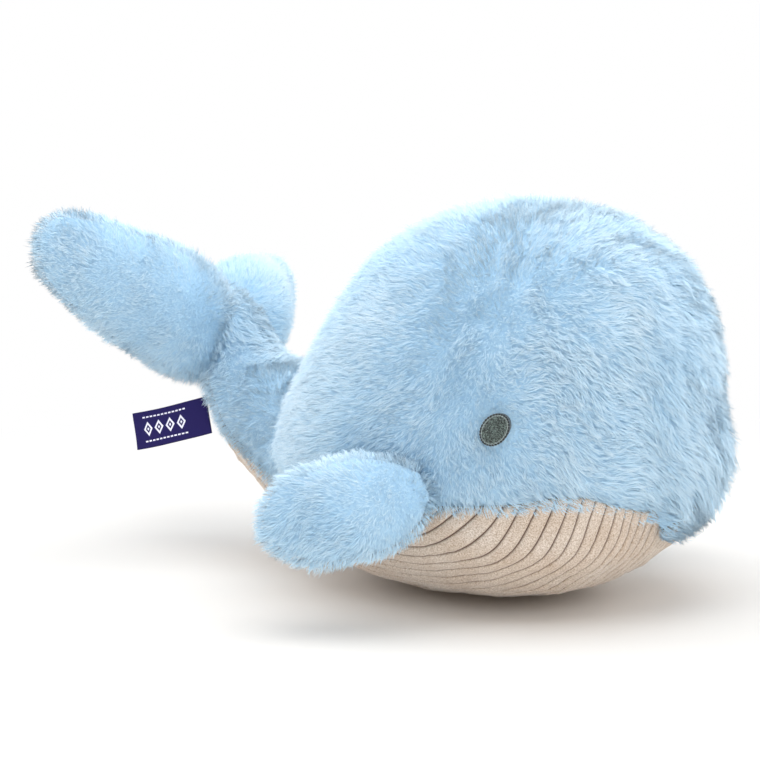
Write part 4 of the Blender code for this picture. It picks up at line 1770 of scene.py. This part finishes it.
@dataclass
class Whale:
    """The whole toy: its skins, its pile, its corduroy, its eyes and its label."""

    depth: float = 5.0 * MM
    limb_depth: float = 4.0 * MM
    rise: float = 3.0 * MM
    limb_rise: float = 2.0 * MM
    joint_start: Triple = (-0.078, 0.0, 0.062)
    joint_end: Triple = (-0.126, 0.0, 0.090)
    part_line: float = 0.028
    part_width: float = 0.060
    fluke_root: Triple = (-0.186, 0.0, 0.135)
    seam_width: float = 3.5 * MM
    seam_depth: float = 1.6 * MM
    eye_dent: float = 4.2 * MM
    eye_dent_width: float = 13 * MM
    tuft_out: float = 4.5 * MM
    limb_density: float = 1.05
    piece_limit: int = 190_000
    pile: bpy.types.Material | None = None

    @staticmethod
    def kinds(density: float = 1.0) -> tuple[HairKind, ...]:
        """The long guard hairs and the short hairs between them.

        Args:
            density: how much denser they are than on the body.

        Returns:
            The two kinds. Real fibres are 0.02 mm thick, too fine for the render, so each hair is a bundle.
        """
        return (
            HairKind(0.56e6 * density, (0.36, 0.72), (0.154 * MM, 0.112 * MM), length=1.02, clump=0.38),
            HairKind(0.96e6 * density, (0.55,), (0.171 * MM,), length=0.92, clump=0.30),
        )

    def body_nap(self, points: Array, normals: Array) -> Array:
        """Which way the pile of the body and tail lies, and how much it leans.

        Args:
            points: places on the skin.
            normals: the skin's normals there.

        Returns:
            A direction for each, as long as the hair leans.
        """
        x, y, z = points.T
        forward = np.tanh((x - self.part_line - 0.10 * (z - 0.12)) / self.part_width)
        down = np.full_like(x, -0.34) - 0.45 * step(-0.02, -0.09, x)
        way = np.stack([forward, np.zeros_like(x), down], -1)
        lean = 0.32 + 0.48 * np.abs(forward)
        fan = unit(points - np.array(self.fluke_root))
        on_tail = step(-0.085, -0.115, x)[:, None]
        way = unit(way) * (1 - on_tail) + fan * on_tail
        tail_lean = 0.35 + 0.45 * step(0.075, 0.115, z)
        lean = lean * (1 - on_tail[:, 0]) + tail_lean * on_tail[:, 0]
        return along_skin(way, normals) * lean[:, None]

    @staticmethod
    def clear_of(eyes: Sequence[Place]) -> Callable[[Array], Array]:
        """A test that drops the hairs that would hide an eye.

        Args:
            eyes: the places of the eyes.

        Returns:
            A function from hairs' middle lines to True for each hair that stays.
        """

        def keep(lines: Array) -> Array:
            """Which hairs stay.

            Args:
                lines: the hairs' middle lines.

            Returns:
                True or False for each hair.
            """
            kept = np.ones(len(lines), bool)
            for eye in eyes:
                gap = lines - eye.centre
                along, across, out = gap @ eye.long, gap @ eye.short, gap @ eye.out
                near = np.sqrt((along / (eye.size[0] / 2)) ** 2 + (across / (eye.size[1] / 2)) ** 2)
                kept &= ~((near < 0.97) & (out > -7 * MM) & (out < 25 * MM)).any(1)
            return kept

        return keep

    def coat_pieces(self, name: str, coat: Coat, nodes: Sequence[str], join: Callable[[Piece], None]) -> None:
        """Grows a coat and cuts it into pieces.

        Args:
            name: what the log calls it.
            coat: the coat.
            nodes: the CAD panels, each of which gets the hairs whose roots are nearest to it.
            join: is run on each piece, and here bakes its transform.
        """
        points, faces, uv, normals, roots = coat.grow()
        log.info("coat %s: %d triangles", name, len(faces))
        owner, order = nearest(nodes, roots), roots[:, 0]
        for index, node in enumerate(nodes):
            mask = owner == index
            parts = max(1, math.ceil(mask.sum() / self.piece_limit))
            edges = np.quantile(order[mask], np.linspace(0, 1, parts + 1))
            edges[-1] += 1
            for number in range(parts):
                chosen = faces[mask & (order >= edges[number]) & (order < edges[number + 1])]
                used, numbers = np.unique(chosen, return_inverse=True)
                suffix = f"_{number + 1}" if parts > 1 else ""
                title = f"{node.replace('_panel', '')}_pile{suffix}"
                obj = new_object(title, points[used], numbers.reshape(chosen.shape), uv[used], normals[used])
                obj.data.materials.append(self.pile)
                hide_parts(node)
                join(obj)
                log.info("piece %s: %d triangles", obj.name, len(obj.data.polygons))

    def across_joint(self, obj: Piece) -> None:
        """Bends a piece over the tail's joint."""
        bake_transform(obj)

    def build_trunk(self, skin: StuffedSkin, eyes: Sequence[Place], limbs: Sequence[BVHTree]) -> None:
        """The pile of the body and the tail, which is one run of cloth.

        Args:
            skin: the stuffed skin.
            eyes: the places of the eyes.
            limbs: the limbs' skins, which take no pile inside them.
        """
        outside, cord = tree_of(*FUR_NODES), tree_of(*CORD_NODES)
        ground = Ground.of(skin.obj, outside, self.depth, self.body_nap)
        middles = ground.middles()
        reach = distances(cord, middles) + lap(middles) + 0.8 * MM
        ground.share = (distances(outside, middles) < reach).astype(float)
        for limb in limbs:
            ground.share *= ~inside(limb, middles + ground.normals[ground.faces].mean(1) * 2 * MM, 1 * MM)
        x, y, z = ground.points.T
        near_cord = 1 - step(2 * MM, 14 * MM, distances(cord, ground.points))
        short = 0.4 * near_cord * step(0.085, 0.100, x) * step(0.006, 0.022, np.abs(y))
        tuft = step(0.080, 0.105, x) * (1 - step(0.072, 0.100, z)) * window(y, -0.025, 0.0, 0.045, 0.070)
        ground.height = ground.height * (1 - short * (1 - tuft) + 0.45 * tuft)
        seam = self.seam_depth * bell(y, self.seam_width) * step(0.03, 0.10, np.abs(x))
        away = (np.linalg.norm(ground.points - eye.centre, axis=1) for eye in eyes)
        dent = self.eye_dent * sum(bell(distance, self.eye_dent_width) for distance in away)
        ground.pull(seam + dent - self.tuft_out * tuft)
        # Upward faces get a paler tone: painted light from above. The waves add tone that differs at random.
        painted_top_light = np.clip(ground.normals[:, 2], -0.5, 1)
        ground.tone = 0.50 + 0.08 * Waves(70 * MM, 21).at(ground.points) + 0.18 * painted_top_light
        coat = Coat(ground, 71, self.kinds(), self.clear_of(eyes))
        self.coat_pieces("trunk", coat, FUR_NODES, self.across_joint)

    def build_limb(self, skin: StuffedSkin, root: LimbRoot, neighbours: Sequence[BVHTree], seed: int) -> None:
        """The pile of one fluke or flipper.

        Args:
            skin: its stuffed skin.
            root: where it is sewn on.
            neighbours: the skins inside which it takes no pile.
            seed: the seed of its pile.
        """
        tip_way = root.axes[0]

        def nap(points: Array, normals: Array) -> Array:
            """Which way the pile lies: out along the limb, a little fanned and a little down.

            Args:
                points: places on the skin.
                normals: the skin's normals there.

            Returns:
                A direction for each, as long as the hair leans.
            """
            away = unit(points - (root.origin - tip_way * 55 * MM))
            way = unit(0.75 * tip_way + 0.6 * away + np.array([0.0, 0.0, -0.25]))
            lean = 0.35 + 0.27 * step(-0.020, 0.015, root.past_joint(points))
            return along_skin(way, normals) * lean[:, None]

        ground = Ground.of(skin.obj, tree_of(*root.panels), self.limb_depth, nap)
        at_root = 1 - step(-0.020, 0.010, root.past_joint(ground.points))
        ground.height = np.maximum(ground.height, 0.9 * self.limb_depth) * (1.08 + 0.6 * at_root)
        middles = ground.middles()
        for neighbour in neighbours:
            ground.share *= ~inside(neighbour, middles, 2 * MM)
        # Upward faces get a paler tone: painted light from above. The waves add tone that differs at random.
        painted_top_light = np.clip(ground.normals[:, 2], -0.5, 1)
        ground.tone = 0.5 + 0.10 * Waves(40 * MM, seed).at(ground.points) + 0.12 * painted_top_light
        self.coat_pieces(root.body.value, Coat(ground, seed, self.kinds(self.limb_density)), root.panels, root.bend)

    @staticmethod
    def roots() -> dict[str, LimbRoot]:
        """How the four limbs are sewn on.

        Returns:
            Each limb's root under its body's name.
        """
        fluke = {"parent": Body.TAIL, "motion": "flex", "faces": ("front", "back"), "length": 66 * MM}
        flipper = {"parent": Body.MAIN, "motion": "flap", "faces": ("outer", "inner"), "length": 44 * MM}
        limbs = (
            LimbRoot(Body.RIGHT_FLUKE, extra=54 * MM, thicker=3.1, wider=1.06, drop=12 * MM, **fluke),
            LimbRoot(Body.LEFT_FLUKE, extra=52 * MM, thicker=3.1, drop=6 * MM, shift=(-5 * MM, 0.0, 0.0), **fluke),
            LimbRoot(Body.RIGHT_FLIPPER, extra=26 * MM, thicker=2.0, sink=12 * MM, **flipper),
            LimbRoot(Body.LEFT_FLIPPER, extra=26 * MM, thicker=2.0, sink=-12 * MM, **flipper),
        )
        return {root.body.value: root for root in limbs}

    def build(self) -> None:
        """Builds the toy."""
        self.pile = PileFinish().make()
        backing = BackingFinish().make()
        trunk = StuffedSkin(
            "body_and_tail_skin",
            ("body_filling", "tail_filling"),
            fill=0.9,
            voxel=5.0 * MM,
            start_inside=0.8 * MM,
            cap=1.6 * MM,
            smooth_rounds=8,
            neck=(-0.094, 0.014),
        )
        limbs = self.roots()
        skins = {name: StuffedSkin(f"{name}_skin", (f"{name}_filling",), fill=0.75) for name in limbs}
        blow_up([trunk, *skins.values()])
        for name, root in limbs.items():
            root.find()
            skins[name].grow_root(root)
        sheets = Underside(trunk.obj, CordFinish().make()).build()
        trunk.raise_under_pile(self.rise, tree_of(*FUR_NODES), tree_of(*CORD_NODES))
        for name, root in limbs.items():
            skins[name].raise_under_pile(self.limb_rise, tree_of(*root.panels), None)
        eyes = [Eye(side) for side in SIDES]
        self.build_trunk(trunk, [eye.place for eye in eyes], [tree_of(skin.obj) for skin in skins.values()])
        bodies = {skin.name: tree_of(skin.obj) for skin in (trunk, *skins.values())}
        for number, (name, root) in enumerate(limbs.items()):
            others = [tree for other, tree in bodies.items() if not other.startswith(name)]
            self.build_limb(skins[name], root, others, 80 + number)
        trunk.dress(backing)
        for piece in (trunk.obj, *sheets):
            self.across_joint(piece)
        for name, skin in skins.items():
            skin.dress(backing)
            limbs[name].bend(skin.obj)
        for eye in eyes:
            eye.build()
        Label(TapeFinish()).build()


# ---------------------------------------------------------------- stage


@dataclass
class Studio:
    """A white floor, soft light from above, and the camera."""

    azimuth: float = 37.0
    elevation: float = 7.0
    distance: float = 1.05
    target: Triple = (-0.020, 0.0, 0.100)
    scale: float = 2.05
    target_pixel: tuple[float, float] = (448.0, 380.0)
    image: int = 760
    sensor: float = 36.0
    sky: str = "#F6F9FF"
    sky_strength: float = 0.82
    floor_bounce: str = "#F2ECE6"
    floor_seen: str = "#DBD9D5"
    # A faint warm glow that only the camera sees on the near floor: painted light, which warms the toy's shadow.
    floor_glow: str = "#FFC890"
    floor_near: float = 0.28
    floor_far: float = 0.62
    floor_lift: float = 0.02
    lamps: tuple[tuple[str, Triple, float, float], ...] = (
        ("top_light", (0.10, -0.20, 1.3), 1.3, 13.0),
        ("front_light", (1.1, -1.0, 0.7), 0.9, 4.6),
        ("left_light", (-1.2, -0.3, 0.8), 1.0, 6.5),
        ("right_light", (1.0, 0.9, 0.7), 0.9, 7.0),
    )

    @staticmethod
    def hang(name: str, data: bpy.types.ID, place: Vector, way: Vector) -> Piece:
        """Adds a camera or a lamp.

        Args:
            name: its name.
            data: the camera's or lamp's data.
            place: where it is.
            way: which way it looks.

        Returns:
            The object.
        """
        obj = bpy.data.objects.new(name, data)
        bpy.context.scene.collection.objects.link(obj)
        obj.location = place
        obj.rotation_mode = "QUATERNION"
        obj.rotation_quaternion = way.to_track_quat("-Z", "Y")
        return obj

    def camera(self) -> None:
        """Sets the camera so that the target falls where the photograph has it."""
        a, e = math.radians(self.azimuth), math.radians(self.elevation)
        look = Vector((-math.sin(a) * math.cos(e), math.cos(a) * math.cos(e), -math.sin(e)))
        data = bpy.data.cameras.new("camera")
        data.sensor_width = self.sensor
        data.lens = self.scale * self.distance / MM / self.image * self.sensor
        data.shift_x = -(self.target_pixel[0] - self.image / 2) / self.image
        data.shift_y = (self.target_pixel[1] - self.image / 2) / self.image
        data.clip_start, data.clip_end = 0.05, 20.0
        bpy.context.scene.camera = self.hang("camera", data, Vector(self.target) - look * self.distance, look)

    def light(self) -> None:
        """Adds the soft square lamps, which face the toy."""
        for name, place, size, power in self.lamps:
            data = bpy.data.lights.new(name, "AREA")
            data.shape, data.size, data.energy = "SQUARE", size, power
            self.hang(name, data, Vector(place), Vector(self.target) - Vector(place))

    def world(self) -> None:
        """A plain pale sky, which the camera sees as white."""
        world = bpy.data.worlds.new("studio")
        bpy.context.scene.world = world
        world.use_nodes = True
        tree = world.node_tree
        tree.nodes.clear()
        path = add_node(tree, "ShaderNodeLightPath")
        rays = {0: path.outputs["Is Camera Ray"], 1: path.outputs["Is Glossy Ray"]}
        seen = add_node(tree, "ShaderNodeMath", rays, operation="MAXIMUM")
        rays = {0: seen, 1: path.outputs["Is Transmission Ray"]}
        seen = add_node(tree, "ShaderNodeMath", rays, operation="MAXIMUM")
        soft = add_node(tree, "ShaderNodeBackground", {"Color": linear(self.sky), "Strength": self.sky_strength})
        white = add_node(tree, "ShaderNodeBackground", {"Color": (1, 1, 1, 1), "Strength": 1.0})
        mixed = add_node(tree, "ShaderNodeMixShader", {0: seen, 1: soft, 2: white})
        add_node(tree, "ShaderNodeOutputWorld", {"Surface": mixed})

    def floor(self) -> None:
        """A matt floor, white to the light. The camera sees it a little darker near by, and pure white far off."""
        deselect()
        bpy.ops.mesh.primitive_plane_add(size=6.0, location=(0, 0, -0.4 * MM))
        obj = bpy.context.object
        obj.name = "floor"
        material, tree = blank("matt_white_floor")
        path = add_node(tree, "ShaderNodeLightPath")
        camera_ray = path.outputs["Is Camera Ray"]
        rays = {0: camera_ray, 1: path.outputs["Is Glossy Ray"]}
        seen = add_node(tree, "ShaderNodeMath", rays, operation="MAXIMUM")
        bounce = add_node(tree, "ShaderNodeBsdfDiffuse", {"Color": linear(self.floor_bounce)})
        shown = add_node(tree, "ShaderNodeBsdfDiffuse", {"Color": linear(self.floor_seen)})
        matt = add_node(tree, "ShaderNodeMixShader", {0: camera_ray, 1: bounce, 2: shown})
        place = add_node(tree, "ShaderNodeTexCoord").outputs["Object"]
        away = add_node(tree, "ShaderNodeVectorMath", {0: place}, operation="LENGTH").outputs["Value"]
        ends = {"Value": away, "From Min": self.floor_near, "From Max": self.floor_far}
        far = add_node(tree, "ShaderNodeMapRange", ends, interpolation_type="SMOOTHSTEP")
        # Painted light: a faint warm glow for the camera, which lifts and warms the shadow on the near floor.
        lift = add_node(tree, "ShaderNodeMath", {0: camera_ray, 1: self.floor_lift}, operation="MULTIPLY")
        glow = add_node(tree, "ShaderNodeEmission", {"Color": linear(self.floor_glow), "Strength": lift})
        near = add_node(tree, "ShaderNodeAddShader", {0: matt, 1: glow})
        white = add_node(tree, "ShaderNodeEmission", {"Color": (1, 1, 1, 1), "Strength": 1.0})
        share = add_node(tree, "ShaderNodeMath", {0: far, 1: seen}, operation="MULTIPLY")
        mixed = add_node(tree, "ShaderNodeMixShader", {0: share, 1: near, 2: white})
        add_node(tree, "ShaderNodeOutputMaterial", {"Surface": mixed})
        obj.data.materials.append(material)

    def build(self) -> None:
        """Builds the studio."""
        bpy.context.scene.view_settings.view_transform = "Standard"
        self.camera()
        self.world()
        self.floor()
        self.light()


def main() -> None:
    """Builds the studio and the whale, and reports each piece."""
    logging.basicConfig(level=logging.INFO, format="%(relativeCreated)6d ms %(message)s")
    Studio().build()
    Whale().build()


if __name__ == "__main__":
    main()
